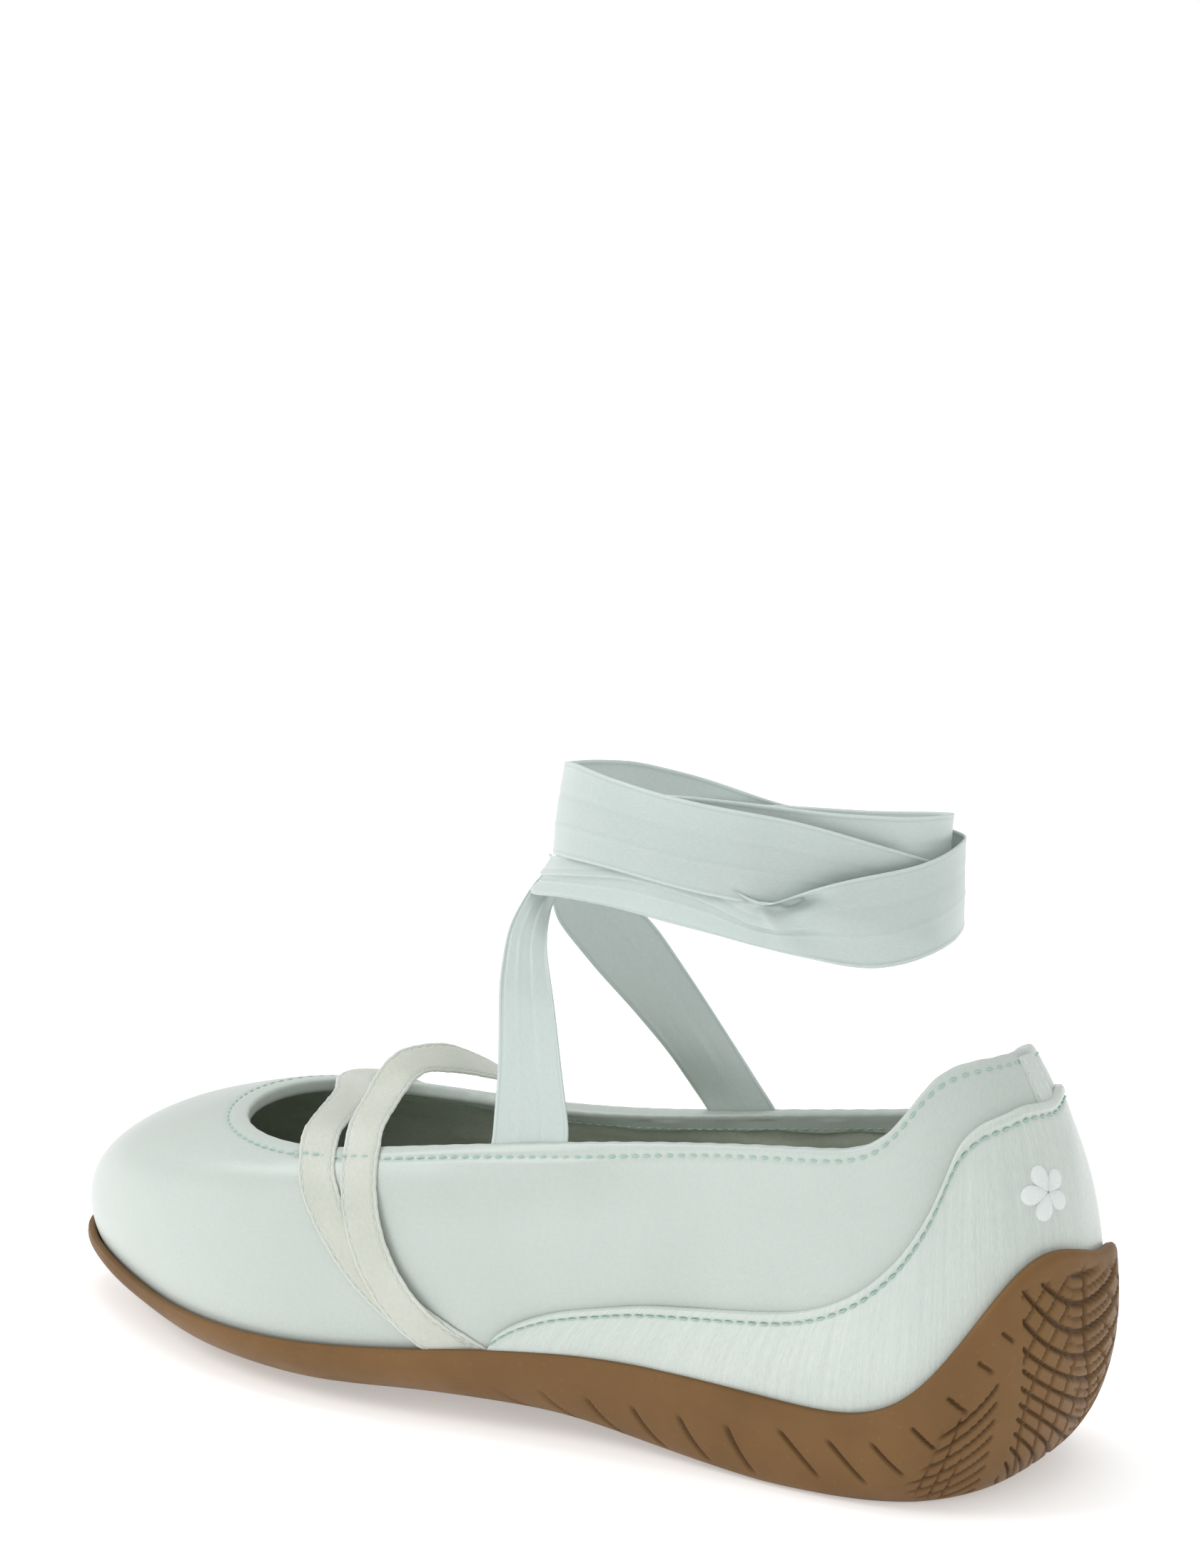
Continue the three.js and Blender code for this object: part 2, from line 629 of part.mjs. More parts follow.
// --- Instep straps: a leg up each side of the upper, and an elastic arch that swings between them ---
// Each leg runs on the wall from the rubber (foot) past a bend to the topline (head), all given by d and
// z, and then lifts off the topline to its tip (d, y, z), where the arch begins. On the outer side the two
// legs lie side by side, a strap's width and a space apart.
const FRONT_HEAD = 160.3;
const STRAP_SPACE = 2.3;
const REAR_HEAD = FRONT_HEAD - STRAP_W - STRAP_SPACE;
const STRAPS = {
  front: {
    crown: [172, -1, 57.5],
    legs: {
      lateral: { side: -1, foot: 124.5, bend: [149, 32.5], head: FRONT_HEAD, tip: [164.5, -20, 55.8] },
      medial: { side: 1, foot: 150, bend: [166, 28], head: 181, tip: [179.5, 13, 55.6] },
    },
  },
  rear: {
    crown: [152.6, -2, 67],
    legs: {
      lateral: {
        side: -1,
        foot: 121.5,
        bend: [REAR_HEAD - 7.5, 31],
        head: REAR_HEAD,
        tip: [REAR_HEAD + 2, -21.5, 59],
        raised: true,
      },
      medial: { side: 1, foot: 124, bend: [138, 30], head: 145, tip: [148.5, 20, 58.5] },
    },
  },
};
const WALL_CLEARANCE = 0.15;
const TIP_GAP = 0.4;
const place = ([d, y, z]) => new THREE.Vector3(d * ALONG, y * ACROSS, z * UPWARD);

function rubberTopAt(side, d) {
  const [at] = placeOnWall(side, d, 16 * UPWARD);
  return round(RUBBER, at)[0];
}

function leg({ side, foot, bend, head, tip, raised }, axis) {
  const start = new THREE.Vector2(foot * ALONG, rubberTopAt(side, foot * ALONG) + 1.6);
  const middle = new THREE.Vector2(bend[0] * ALONG, bend[1] * UPWARD);
  const { point } = toplineAt(side, head * ALONG);
  const end = new THREE.Vector2(point.x, point.z - 1);
  const path = new THREE.QuadraticBezierCurve(start, middle, end);
  const steps = 12;
  const onWall = (d, z, distance) => layer(...placeOnWall(side, d, z), distance);
  const stations = Array.from({ length: steps + 1 }, (_, i) => {
    const t = i / steps;
    const { x: d, y: z } = path.getPoint(t);
    const lift = raised ? (LEG_T + GAP) * (1 - smooth(0.76, 0.95, t)) : 0;
    const distance = OUTSIDE + WALL_CLEARANCE + lift + LEG_T / 2;
    return {
      centre: onWall(d, z, distance),
      across: onWall(d + 1, z, distance).sub(onWall(d - 1, z, distance)).normalize(),
      width: Math.min(STRAP_W / path.getTangent(t).y, STRAP_W * 1.1),
    };
  });
  const last = stations[steps];
  const { q: at } = toplineAt(side, head * ALONG);
  const beside = layer(at, 1, OUTSIDE + WALL_CLEARANCE + LEG_T / 2 + GAP);
  beside.z += GAP + BINDING_LIFT + BINDING_H * 0.5;
  const over = layer(at, 1, UPPER_T / 2);
  over.z += GAP + BINDING_LIFT + BINDING_H + 2 * GAP + LEG_T;
  const tipPoint = place(tip);
  const across = new THREE.Vector3(1, 0, 0).addScaledVector(axis, -axis.x).normalize();
  const width = STRAP_W;
  const turned = (part) => last.across.clone().lerp(across, part).normalize();
  stations.push({ centre: beside, across: turned(0.2), width });
  stations.push({ centre: over, across: turned(0.6), width });
  stations.push({ centre: tipPoint, across, width, along: axis.clone().multiplyScalar(-side) });
  return strip(stations, LEG_T);
}

function arch({ crown, legs }, axis) {
  const start = place(legs.lateral.tip).addScaledVector(axis, TIP_GAP);
  const end = place(legs.medial.tip).addScaledVector(axis, -TIP_GAP);
  const top = place(crown);
  const quarter = (a) => a.clone().lerp(top, 0.5).add(new THREE.Vector3(0, 0, (top.z - a.z) * 0.22));
  const points = [start, quarter(start), top, quarter(end), end];
  const path = new THREE.CatmullRomCurve3(points, false, 'centripetal');
  const across = new THREE.Vector3(1, 0, 0).addScaledVector(axis, -axis.x).normalize();
  const steps = 14;
  const stations = Array.from({ length: steps + 1 }, (_, i) => ({
    centre: path.getPoint(i / steps), across, width: STRAP_W,
  }));
  stations[0].along = axis;
  stations[steps].along = axis;
  return strip(stations, STRAP_T);
}

for (const [name, strap] of Object.entries(STRAPS)) {
  const axis = place(strap.legs.medial.tip).sub(place(strap.legs.lateral.tip)).normalize();
  for (const [side, shape] of Object.entries(strap.legs)) {
    add(`${name}_strap_leg_${side}`, leg(shape, axis), STRAP);
  }
  add(`${name}_strap_arch`, arch(strap, axis), STRAP);
}

// --- Ankle ribbons: a sewn-in tail in the topline on each side, and a ribbon that rises from it ---
const TAIL_LENGTH = 13;
const TAIL_TOP = GAP + BINDING_LIFT + BINDING_H + GAP;
const TAIL_DEPTH = STIFFENER_T / 2 + GAP;
const TAIL_ROWS = [-TAIL_LENGTH, -TAIL_LENGTH / 2, -1, 0, 1];

function ribbonTail({ side, d }) {
  const top = toplineAt(side, d).point.z + TAIL_TOP;
  const face = (distance) => (u, v) => {
    const { q: at } = toplineAt(side, d + mix(-RIBBON_W / 2, RIBBON_W / 2, u));
    const row = TAIL_ROWS[Math.round(v * (TAIL_ROWS.length - 1))];
    const perH = wall(at, 1).distanceTo(wall(at, 0.98)) / 0.02;
    const p = layer(at, Math.min(1, 1 + row / perH), distance);
    if (row > 0) p.z = top;
    return p;
  };
  return slab(face(RIBBON_T / 2 - TAIL_DEPTH), face(-RIBBON_T / 2 - TAIL_DEPTH), 4, TAIL_ROWS.length - 1);
}

// The ribbon's pivot stands half a ribbon above its tail, because the ribbon's lower end is half round.
function ribbonPivot({ side, d }) {
  const { q: at, point } = toplineAt(side, d);
  const pivot = layer(at, 1, -TAIL_DEPTH);
  pivot.x = d;
  pivot.z = point.z + TAIL_TOP + GAP + RIBBON_W / 2;
  return pivot;
}

// A place on the turns round the ankle: the angle runs from the front (0) over the outer side (90).
function onLoop(degrees, z, outside) {
  const angle = (degrees * Math.PI) / 180;
  return new THREE.Vector3(
    LOOP_CENTRE * ALONG + (LOOP_LENGTH / 2 + outside) * Math.cos(angle),
    -(LOOP_WIDTH / 2 + outside) * Math.sin(angle),
    z,
  );
}

const STAND = new THREE.Vector3(0, 0, 1);
const LIE = new THREE.Vector3(1, 0, 0);
const leaning = (x, y, z) => new THREE.Vector3(x, y, z).normalize();
const TURN_SPACING = RIBBON_T + 2 * GAP;

// The outer ribbon rises, crosses the front and makes the lower turn. The inner ribbon crosses over it
// and makes the upper turn.
function ribbon(rise, turns, turnSteps) {
  const points = [...rise, ...turns];
  const centres = points.map((point) => point.centre);
  const acrosses = points.map((point) => point.across);
  const widths = points.map((point) => point.width ?? RIBBON_W);
  return strip(stationsAlong(centres, acrosses, widths, turnSteps), RIBBON_T);
}

function outerRibbon() {
  const pivot = ribbonPivot(RIBBON_SEATS[0]);
  const risen = (lean, part) => (
    new THREE.Vector3(pivot.x + lean, pivot.y + lean, mix(pivot.z, LOWER_TURN_Z, part)));
  const rise = [
    { centre: pivot, across: LIE },
    { centre: risen(0.6, 0.33), across: LIE },
    { centre: risen(3, 0.62), across: LIE, width: 16 },
    { centre: onLoop(34, LOWER_TURN_Z - 8, -2.5), across: leaning(0.5, 0.1, 0.8), width: LOWER_TURN_W },
    { centre: onLoop(12, LOWER_TURN_Z - 3, -0.8), across: STAND, width: LOWER_TURN_W },
  ];
  const turns = Array.from({ length: 15 }, (_, i) => ({
    centre: onLoop(-10 - 20 * i, LOWER_TURN_Z, 0), across: STAND, width: LOWER_TURN_W,
  }));
  return ribbon(rise, turns, 64);
}

function innerRibbon() {
  const pivot = ribbonPivot(RIBBON_SEATS[1]);
  const climb = (degrees) => mix(LOWER_TURN_Z - 6, UPPER_TURN_Z, smooth(-30, 75, degrees));
  const toward = onLoop(-22, climb(-22), TURN_SPACING);
  const risen = (part) => pivot.clone().lerp(toward, part).add(new THREE.Vector3(0, 2, 0));
  const rise = [
    { centre: pivot, across: LIE },
    { centre: risen(0.3), across: leaning(0.95, -0.3, 0), width: 17 },
    { centre: risen(0.68), across: leaning(0.8, -0.4, 0.4), width: 15 },
    { centre: toward, across: leaning(0.15, 0, 1), width: 14 },
  ];
  const turns = Array.from({ length: 19 }, (_, i) => {
    const degrees = 18 * i;
    return { centre: onLoop(degrees, climb(degrees), TURN_SPACING), across: STAND, width: UPPER_TURN_W };
  });
  return ribbon(rise, turns, 72);
}

add('ribbon_tail_lateral', ribbonTail(RIBBON_SEATS[0]), RIBBON);
add('ribbon_tail_medial', ribbonTail(RIBBON_SEATS[1]), RIBBON);
add('ankle_ribbon_lateral', outerRibbon(), RIBBON);
add('ankle_ribbon_medial', innerRibbon(), RIBBON);

// The origin is the middle of the underside.
const box = new THREE.Box3().setFromObject(shoe);
shoe.position.set(-(box.min.x + box.max.x) / 2, -(box.min.y + box.max.y) / 2, -box.min.z);

export default shoe;
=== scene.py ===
import bmesh
import bpy
import numpy as np
from mathutils import Matrix, Vector


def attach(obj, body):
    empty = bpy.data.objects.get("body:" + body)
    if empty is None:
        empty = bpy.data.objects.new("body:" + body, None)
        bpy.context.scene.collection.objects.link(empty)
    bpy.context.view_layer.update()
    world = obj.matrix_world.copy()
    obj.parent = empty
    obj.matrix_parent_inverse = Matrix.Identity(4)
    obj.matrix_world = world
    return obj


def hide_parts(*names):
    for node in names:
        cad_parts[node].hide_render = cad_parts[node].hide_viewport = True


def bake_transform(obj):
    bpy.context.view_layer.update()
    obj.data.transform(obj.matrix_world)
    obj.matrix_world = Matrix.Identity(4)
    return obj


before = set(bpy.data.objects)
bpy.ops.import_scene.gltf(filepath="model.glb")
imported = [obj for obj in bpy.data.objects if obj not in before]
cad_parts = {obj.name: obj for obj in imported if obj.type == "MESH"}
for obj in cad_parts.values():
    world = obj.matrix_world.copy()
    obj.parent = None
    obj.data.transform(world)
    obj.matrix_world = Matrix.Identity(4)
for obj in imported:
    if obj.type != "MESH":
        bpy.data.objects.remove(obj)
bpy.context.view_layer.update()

# Shapes are worked out in shoe coordinates, in millimetres: d from the heel towards the toe, y towards the
# big-toe side, z up. MIDDLE is the middle of the underside in those coordinates.
MIDDLE = np.array([121.676, 0.904, 0.0])

# Driving sizes, as the CAD model has them.
GAP = 0.3
UPPER_T = 0.9
LINING_T = 0.6
OVERLAY_T = 0.8
COLLAR_PAD_T = 2.0
INSOLE_INSET = 3.0
STRAP_W = 8.5
RIBBON_W = 18.0
FLATTEN = 0.35
OUTSIDE = UPPER_T + GAP

# Stations round the shoe: heel back, outer side, toe tip, inner side. Each row holds the feather edge
# (d, y, z), the topline (d, y, z), how the wall leaves and meets them (out, up, out, down), the height
# and lip of the rubber, the tread edge (d, y, z), and how the rubber's side leaves and meets its edges.
STATIONS = np.array([
    [3, 0, 14, 15, 0, 85.2, 7, 22, 14, 20, 44.5, 3.6, 10, 0, 3, 11, 8, 3, 20],
    [7, -18, 14, 16, -10, 85.5, 7, 22, 12, 20, 55, 3.4, 13, -16, 1, 11, 5, 3, 20],
    [22, -28, 14, 24.6, -20, 85, 7, 20, 5, 18, 17, 3.0, 27, -30, 0, 4, 2, 3, 10],
    [46, -29, 14, 31, -26, 68.4, 7, 18, 2, 16, 17, 2.4, 50, -32, 0, 3, 1, 2, 6],
    [78, -29.5, 14, 47, -27, 67, 7, 17, 2, 16, 20, 2.0, 80, -27, 1.4, 6, 1, 1, 6],
    [107, -31, 12.5, 65, -28, 65.5, 6, 18, 3, 15, 19, 1.8, 107, -24, 4.2, 8, 1, 1, 6],
    [135, -35, 10, 88, -28.5, 62.5, 6, 17, 4, 14, 15, 1.8, 136, -26, 3.2, 9, 1, 1, 5],
    [162, -37.5, 8, 113, -29, 58.5, 7, 17, 7, 12, 12, 1.8, 162, -27, 0.6, 9, 1, 1, 4],
    [188, -32, 7.5, 140, -30, 54, 8, 17, 12, 10, 11, 1.8, 186, -22, 1.0, 8, 1, 1, 4],
    [210, -20, 8, 165, -32, 50, 9, 17, 18, 6, 11, 1.8, 207, -14, 3.5, 7, 1, 1, 3],
    [232, -6, 9, 189, -21, 50, 9, 18, 26, 3, 13, 1.8, 226, -4, 6.0, 6, 1, 1, 3],
    [246, 8, 9.5, 197, 2, 51, 9, 19, 30, 2, 14, 1.8, 239, 8, 7.6, 6, 1, 1, 3],
    [240, 24, 9, 190, 23, 50, 9, 18, 21, 3, 13, 1.8, 232, 20, 6.0, 6, 1, 1, 3],
    [222, 34, 8, 165, 31, 48.5, 9, 17, 15, 6, 11, 1.8, 217, 27, 3.0, 7, 1, 1, 3],
    [197, 39, 7.5, 140, 29.5, 49, 8, 17, 11, 10, 11, 1.8, 194, 30, 0.8, 8, 1, 1, 4],
    [168, 38.5, 8, 113, 28.5, 51.5, 7, 17, 7, 12, 12, 1.8, 167, 29, 0.6, 9, 1, 1, 4],
    [139, 32, 10, 88, 27.5, 55.5, 6, 17, 4, 14, 15, 1.8, 139, 23, 3.2, 9, 1, 1, 5],
    [108, 26, 12.5, 65, 27, 59, 6, 18, 3, 15, 19, 1.8, 108, 19, 4.2, 8, 1, 1, 6],
    [78, 25, 14, 47, 26, 62, 7, 17, 2, 16, 20, 2.0, 80, 21, 1.4, 7, 1, 1, 6],
    [46, 27, 14, 31, 24.5, 66, 7, 18, 2, 16, 17, 2.4, 50, 29, 0, 4, 1, 2, 6],
    [22, 26, 14, 24, 18, 81.5, 7, 20, 5, 18, 21, 3.0, 27, 28, 0, 4, 2, 3, 10],
    [7, 17, 14, 16, 9, 84, 7, 22, 12, 20, 46, 3.4, 13, 15, 1, 11, 5, 3, 20],
], float)
FEATHER, TOPLINE, WALL = STATIONS[:, 0:3], STATIONS[:, 3:6], STATIONS[:, 6:10]
RUBBER, TREAD, SIDE = STATIONS[:, 10:12], STATIONS[:, 12:15], STATIONS[:, 15:19]
UP = np.array([0.0, 0.0, 1.0])


# --- Curves and the last's wall ---

def mix(a, b, t):
    """From a (t = 0) to b (t = 1)."""
    return a + (b - a) * t


def smooth(a, b, x):
    """0 before a, 1 after b, and 3t^2 - 2t^3 between them."""
    t = np.clip((x - a) / (b - a), 0, 1)
    return t * t * (3 - 2 * t)


def unit(v):
    """Each vector over its length."""
    return v / np.maximum(np.linalg.norm(v, axis=-1, keepdims=True), 1e-9)


def bump(x, width):
    """A bell of height 1 at x = 0: e to the power -(x / width)^2."""
    return np.exp(-((x / width) ** 2))


def around(rows, q):
    """A closed uniform cubic B-spline through the rows; q runs from 0 to 1 round the shoe."""
    s = (np.asarray(q, float) % 1) * len(rows)
    i = np.floor(s).astype(int)
    t = (s - i)[..., None]
    weights = [(1 - t) ** 3, 3 * t**3 - 6 * t**2 + 4, 1 + 3 * t + 3 * t**2 - 3 * t**3, t**3]
    return sum(w * rows[(i + k) % len(rows)] for w, k in zip(weights, (-1, 0, 1, 2))) / 6


def outward(q):
    """The level direction square to the feather edge in plan: (ahead.y, -ahead.x, 0)."""
    ahead = around(FEATHER, np.asarray(q) + 1e-4) - around(FEATHER, np.asarray(q) - 1e-4)
    return unit(np.stack([ahead[..., 1], -ahead[..., 0], 0 * ahead[..., 0]], -1))


def risen(low, high, lean, out, t):
    """A cubic from low to high that leaves and meets them by lean (out, up, out, down)."""
    p1 = low + out * lean[..., 0:1] + UP * lean[..., 1:2]
    p2 = high + out * lean[..., 2:3] - UP * lean[..., 3:4]
    return (1 - t) ** 3 * low + 3 * (1 - t) ** 2 * t * p1 + 3 * (1 - t) * t**2 * p2 + t**3 * high


def wall(q, h):
    """The upper's inner face: a cubic from the feather edge (h = 0) to the topline (h = 1)."""
    q, h = np.broadcast_arrays(np.asarray(q, float), np.asarray(h, float))
    return risen(around(FEATHER, q), around(TOPLINE, q), around(WALL, q), outward(q), h[..., None])


def wall_frame(q, h):
    """The wall's outward normal and its upward direction at (q, h), from differences."""
    by_q = wall(np.asarray(q) + 1e-4, h) - wall(np.asarray(q) - 1e-4, h)
    by_h = wall(q, np.asarray(h) + 1e-4) - wall(q, np.asarray(h) - 1e-4)
    return unit(np.cross(by_q, by_h)), unit(by_h)


def layer(q, h, distance):
    """The wall moved out along its normal by a distance."""
    return wall(q, h) + wall_frame(q, h)[0] * np.asarray(distance, float)[..., None]


def per_h(q, h):
    """Millimetres along the wall for one unit of h."""
    return np.linalg.norm(wall(q, np.asarray(h) + 0.005) - wall(q, np.asarray(h) - 0.005), axis=-1) / 0.01


def top_scale(q):
    """Millimetres along the wall for one unit of h, just below the topline."""
    return per_h(q, 0.97)


def halved(low, high, is_before):
    """Where is_before turns false between low and high, halving the interval forty times."""
    for _ in range(40):
        middle = (low + high) / 2
        before = is_before(middle)
        low, high = np.where(before, middle, low), np.where(before, high, middle)
    return low


def height_on_wall(q, z):
    """The h at which the wall reaches height z."""
    return halved(np.zeros_like(q), np.full_like(q, 0.9), lambda h: wall(q, h)[..., 2] < z)


def topline_at(side, d):
    """The q of the topline on one side, at given d."""
    start = np.full_like(d, 0.09 if side < 0 else 0.91)
    return halved(start, np.full_like(d, 0.5), lambda q: around(TOPLINE, q)[..., 0] < d)


def place_on_wall(side, d, z):
    """The (q, h) of places (d, z) on one side wall, by forty Newton steps."""
    d, z = np.asarray(d, float), np.asarray(z, float)
    q, h = np.full_like(d, 0.25 if side < 0 else 0.75), np.full_like(d, 0.5)
    for _ in range(40):
        here = wall(q, h)
        by_q, by_h = (wall(q + 1e-4, h) - here) * 1e4, (wall(q, h + 1e-4) - here) * 1e4
        det = by_q[..., 0] * by_h[..., 2] - by_h[..., 0] * by_q[..., 2]
        dd, dz = d - here[..., 0], z - here[..., 2]
        q = q + np.clip((dd * by_h[..., 2] - dz * by_h[..., 0]) / det, -0.04, 0.04)
        h = h + np.clip((dz * by_q[..., 0] - dd * by_q[..., 2]) / det, -0.15, 0.15)
    return q, h


def along(points):
    """Distance travelled along a path of points."""
    return np.concatenate([[0.0], np.cumsum(np.linalg.norm(np.diff(points, axis=0), axis=1))])


def eased(rows, spacing, softness):
    """A path through rows (xyz first), at an even spacing, averaged with a bell of a given softness."""
    run = along(rows[:, :3])
    count = int(run[-1] / spacing) + 1
    s = np.linspace(0, run[-1], count)
    fine = np.stack([np.interp(s, run, column) for column in rows.T], -1)
    reach = int(3 * softness / spacing) + 1
    kernel = bump(np.arange(-reach, reach + 1) * spacing, softness * 1.414)
    longer = np.vstack([2 * fine[:1] - fine[reach:0:-1], fine, 2 * fine[-1:] - fine[-2:-reach - 2:-1]])
    return np.stack([np.convolve(column, kernel / kernel.sum(), "valid") for column in longer.T], -1)


def ripple(p, size, seed):
    """Soft unevenness from -1 to 1: six sine waves of about one size, in fixed scattered directions."""
    turns = np.random.default_rng(seed).normal(size=(6, 3))
    phases = np.random.default_rng(seed + 1).uniform(0, 6.28, 6)
    return np.sin(p @ unit(turns).T * (6.28 / size) + phases).mean(-1) * 1.6


# --- Meshes ---

def make(name, points, faces, uv, look, body="shoe"):
    """A mesh from points in millimetres and faces; uv holds (across, along) in millimetres per corner."""
    mesh = bpy.data.meshes.new(name)
    world = (np.asarray(points) - MIDDLE) * [-0.001, 0.001, 0.001]
    mesh.from_pydata(world.tolist(), [], faces)
    layer_uv = mesh.uv_layers.new(name="millimetres")
    layer_uv.data.foreach_set("uv", np.asarray(uv, np.float32).ravel())
    mesh.polygons.foreach_set("use_smooth", np.full(len(mesh.polygons), True))
    mesh.materials.append(look)
    piece = bpy.data.objects.new(name, mesh)
    bpy.context.scene.collection.objects.link(piece)
    if body:
        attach(piece, body)
    return piece


def volume(points, quads):
    """Signed volume of a closed mesh of quads, each cut into two triangles."""
    a, b, c, d = (points[quads[:, k]] for k in range(4))
    return ((a * np.cross(b, c)).sum() + (a * np.cross(c, d)).sum()) / 6


def skin(name, sections, uv, look, ring=False, body="shoe"):
    """A closed skin over section loops (n, m, 3): each loop closes on itself and joins the next. A ring joins
    its last loop to its first; otherwise each end loop is closed by quads between facing points."""
    n, m = sections.shape[:2]
    spans = n if ring else n - 1
    i, j = np.meshgrid(np.arange(spans), np.arange(m), indexing="ij")
    corners = [(i, j), (i + 1, j), (i + 1, j + 1), (i, j + 1)]
    quads = np.stack([(a % n) * m + b % m for a, b in corners], -1).reshape(-1, 4)
    corner_uv = np.stack([uv[a, b % m] for a, b in corners], -2).reshape(-1, 4, 2)
    if not ring:
        k = np.arange(m // 2 - 1)
        cap = np.stack([k, k + 1, m - 2 - k, m - 1 - k], -1)
        quads = np.vstack([quads, cap, cap[:, ::-1] + (n - 1) * m])
        corner_uv = np.vstack([corner_uv, uv[0][cap], uv[n - 1][cap[:, ::-1]]])
    points = sections.reshape(-1, 3)
    if volume(points * [-1, 1, 1], quads) < 0:
        quads, corner_uv = quads[:, ::-1], corner_uv[:, ::-1]
    return make(name, points, quads.tolist(), corner_uv.reshape(-1, 2), look, body)


def climbed(grid):
    """Distance travelled up each column of a grid (n, m, 3), from 0 at its first row."""
    steps = np.linalg.norm(np.diff(grid, axis=1), axis=2)
    return np.concatenate([np.zeros((len(grid), 1)), np.cumsum(steps, axis=1)], 1)


def grid_uv(front):
    """(across, along) in millimetres for a grid: distance round its middle row and up each column."""
    middle = front[:, front.shape[1] // 2]
    run = along(np.vstack([middle, middle[:1]]))
    rise = climbed(front)
    rise = np.vstack([rise, rise[:1]])
    return np.stack([np.broadcast_to(run[:, None], rise.shape), rise], -1)


def cloth(name, front, back, look, uv=None, ring=False, body="shoe"):
    """A sheet of fabric with a front and a back face (n, m, 3), closed round its edges."""
    uv = grid_uv(front) if uv is None else uv
    sections = np.concatenate([front, back[:, ::-1]], axis=1)
    return skin(name, sections, np.concatenate([uv, uv[:, ::-1]], axis=1), look, ring, body)


def stitches(name, path, normals, look, pitch=2.6, length=2.0, radius=0.24, body="shoe", closed=False):
    """A row of thread stitches on a path, which is eased unless it closes. Each is a rod of five rings of six
    points that rises along the normal by a half sine of its radius and dives at both ends."""
    rows = np.hstack([path, normals])
    rows = rows if closed else eased(rows, 0.4, 0.4)
    run = along(rows[:, :3])
    count = max(1, int(run[-1] / pitch))
    starts = (np.arange(count) + 0.5) * run[-1] / count
    steps = np.linspace(-0.5, 0.5, 5)
    s = starts[:, None] + steps * length
    here, ahead, behind = (np.stack([np.interp(s + on, run, column) for column in rows.T], -1)
                           for on in (0, 0.2, -0.2))
    normal, forward = unit(here[..., 3:]), unit((ahead - behind)[..., :3])
    sideways = unit(np.cross(forward, normal))
    thickness = radius * np.array([0.55, 0.95, 1.0, 0.95, 0.55])[None, :, None, None]
    centre = here[..., :3] + normal * (radius * (1.5 * np.cos(np.pi * steps) - 0.75))[None, :, None]
    angle = np.arange(6) * np.pi / 3
    spoke = sideways[..., None, :] * np.cos(angle)[:, None] + normal[..., None, :] * np.sin(angle)[:, None]
    points = centre[..., None, :] + spoke * thickness
    i, j = np.meshgrid(np.arange(4), np.arange(6), indexing="ij")
    after = (j + 1) % 6
    one = np.stack([i * 6 + j, i * 6 + after, (i + 1) * 6 + after, (i + 1) * 6 + j], -1).reshape(-1, 4)
    caps = np.array([[0, 3, 2, 1], [0, 5, 4, 3], [24, 25, 26, 27], [24, 27, 28, 29]])
    one = np.vstack([one, caps])
    quads = (one[None] + np.arange(count)[:, None, None] * 30).reshape(-1, 4)
    flat = points.reshape(-1, 3)
    if volume(flat * [-1, 1, 1], quads) < 0:
        quads = quads[:, ::-1]
    uv = np.stack([flat[:, 0], flat[:, 2]], -1)[quads].reshape(-1, 2)
    return make(name, flat, quads.tolist(), uv, look, body)


# --- Materials ---

def linear(code):
    """A linear colour from an sRGB hex code: ((c + 0.055) / 1.055)^2.4 above 0.04045, else c / 12.92."""
    c = np.array([int(code[i:i + 2], 16) for i in (1, 3, 5)]) / 255
    return (*np.where(c > 0.04045, ((c + 0.055) / 1.055) ** 2.4, c / 12.92).tolist(), 1.0)


def node(tree, kind, links=(), **settings):
    """Adds a node; settings are attributes or, where the name is an input's, that input's value. links are
    (input, output socket) pairs."""
    made = tree.nodes.new(kind)
    for key, value in settings.items():
        if hasattr(made, key):
            setattr(made, key, value)
        else:
            made.inputs[key.replace("_", " ")].default_value = value
    for key, output in links:
        tree.links.new(output, made.inputs[key])
    return made


def finish_named(name, roughness, specular=0.5, sheen=0.0):
    """A new material with its shader's constants set; returns it with its tree and its shader."""
    look = bpy.data.materials.new(name)
    look.use_nodes = True
    shader = look.node_tree.nodes["Principled BSDF"]
    for key, value in (("Roughness", roughness), ("Specular IOR Level", specular), ("Sheen Weight", sheen),
                       ("Sheen Roughness", 0.4)):
        shader.inputs[key].default_value = value
    return look, look.node_tree, shader


def noise(tree, place, scale, detail, roughness, dimensions="3D"):
    """A noise texture's value."""
    return node(tree, "ShaderNodeTexNoise", [("Vector", place)], noise_dimensions=dimensions, Scale=scale,
                Detail=detail, Roughness=roughness).outputs["Fac"]


def spread(tree, value, low, high, to_low, to_high):
    """A value stretched from low..high to to_low..to_high, and held at both ends."""
    return node(tree, "ShaderNodeMapRange", [("Value", value)], From_Min=low, From_Max=high, To_Min=to_low,
                To_Max=to_high).outputs["Result"]


def joined(tree, operation, a, b):
    """Two values put together by a math operation; a plain number is set on its socket."""
    made = node(tree, "ShaderNodeMath", operation=operation)
    for socket, value in zip(made.inputs, (a, b)):
        if isinstance(value, (int, float)):
            socket.default_value = value
        else:
            tree.links.new(value, socket)
    return made.outputs["Value"]


def tinted(tree, factor, low, code):
    """A colour from low, a hex code or a socket, to the colour of a hex code, by a factor."""
    made = node(tree, "ShaderNodeMix", [("Factor", factor)], data_type="RGBA")
    if isinstance(low, str):
        made.inputs[6].default_value = linear(low)
    else:
        tree.links.new(low, made.inputs[6])
    made.inputs[7].default_value = linear(code)
    return made.outputs[2]


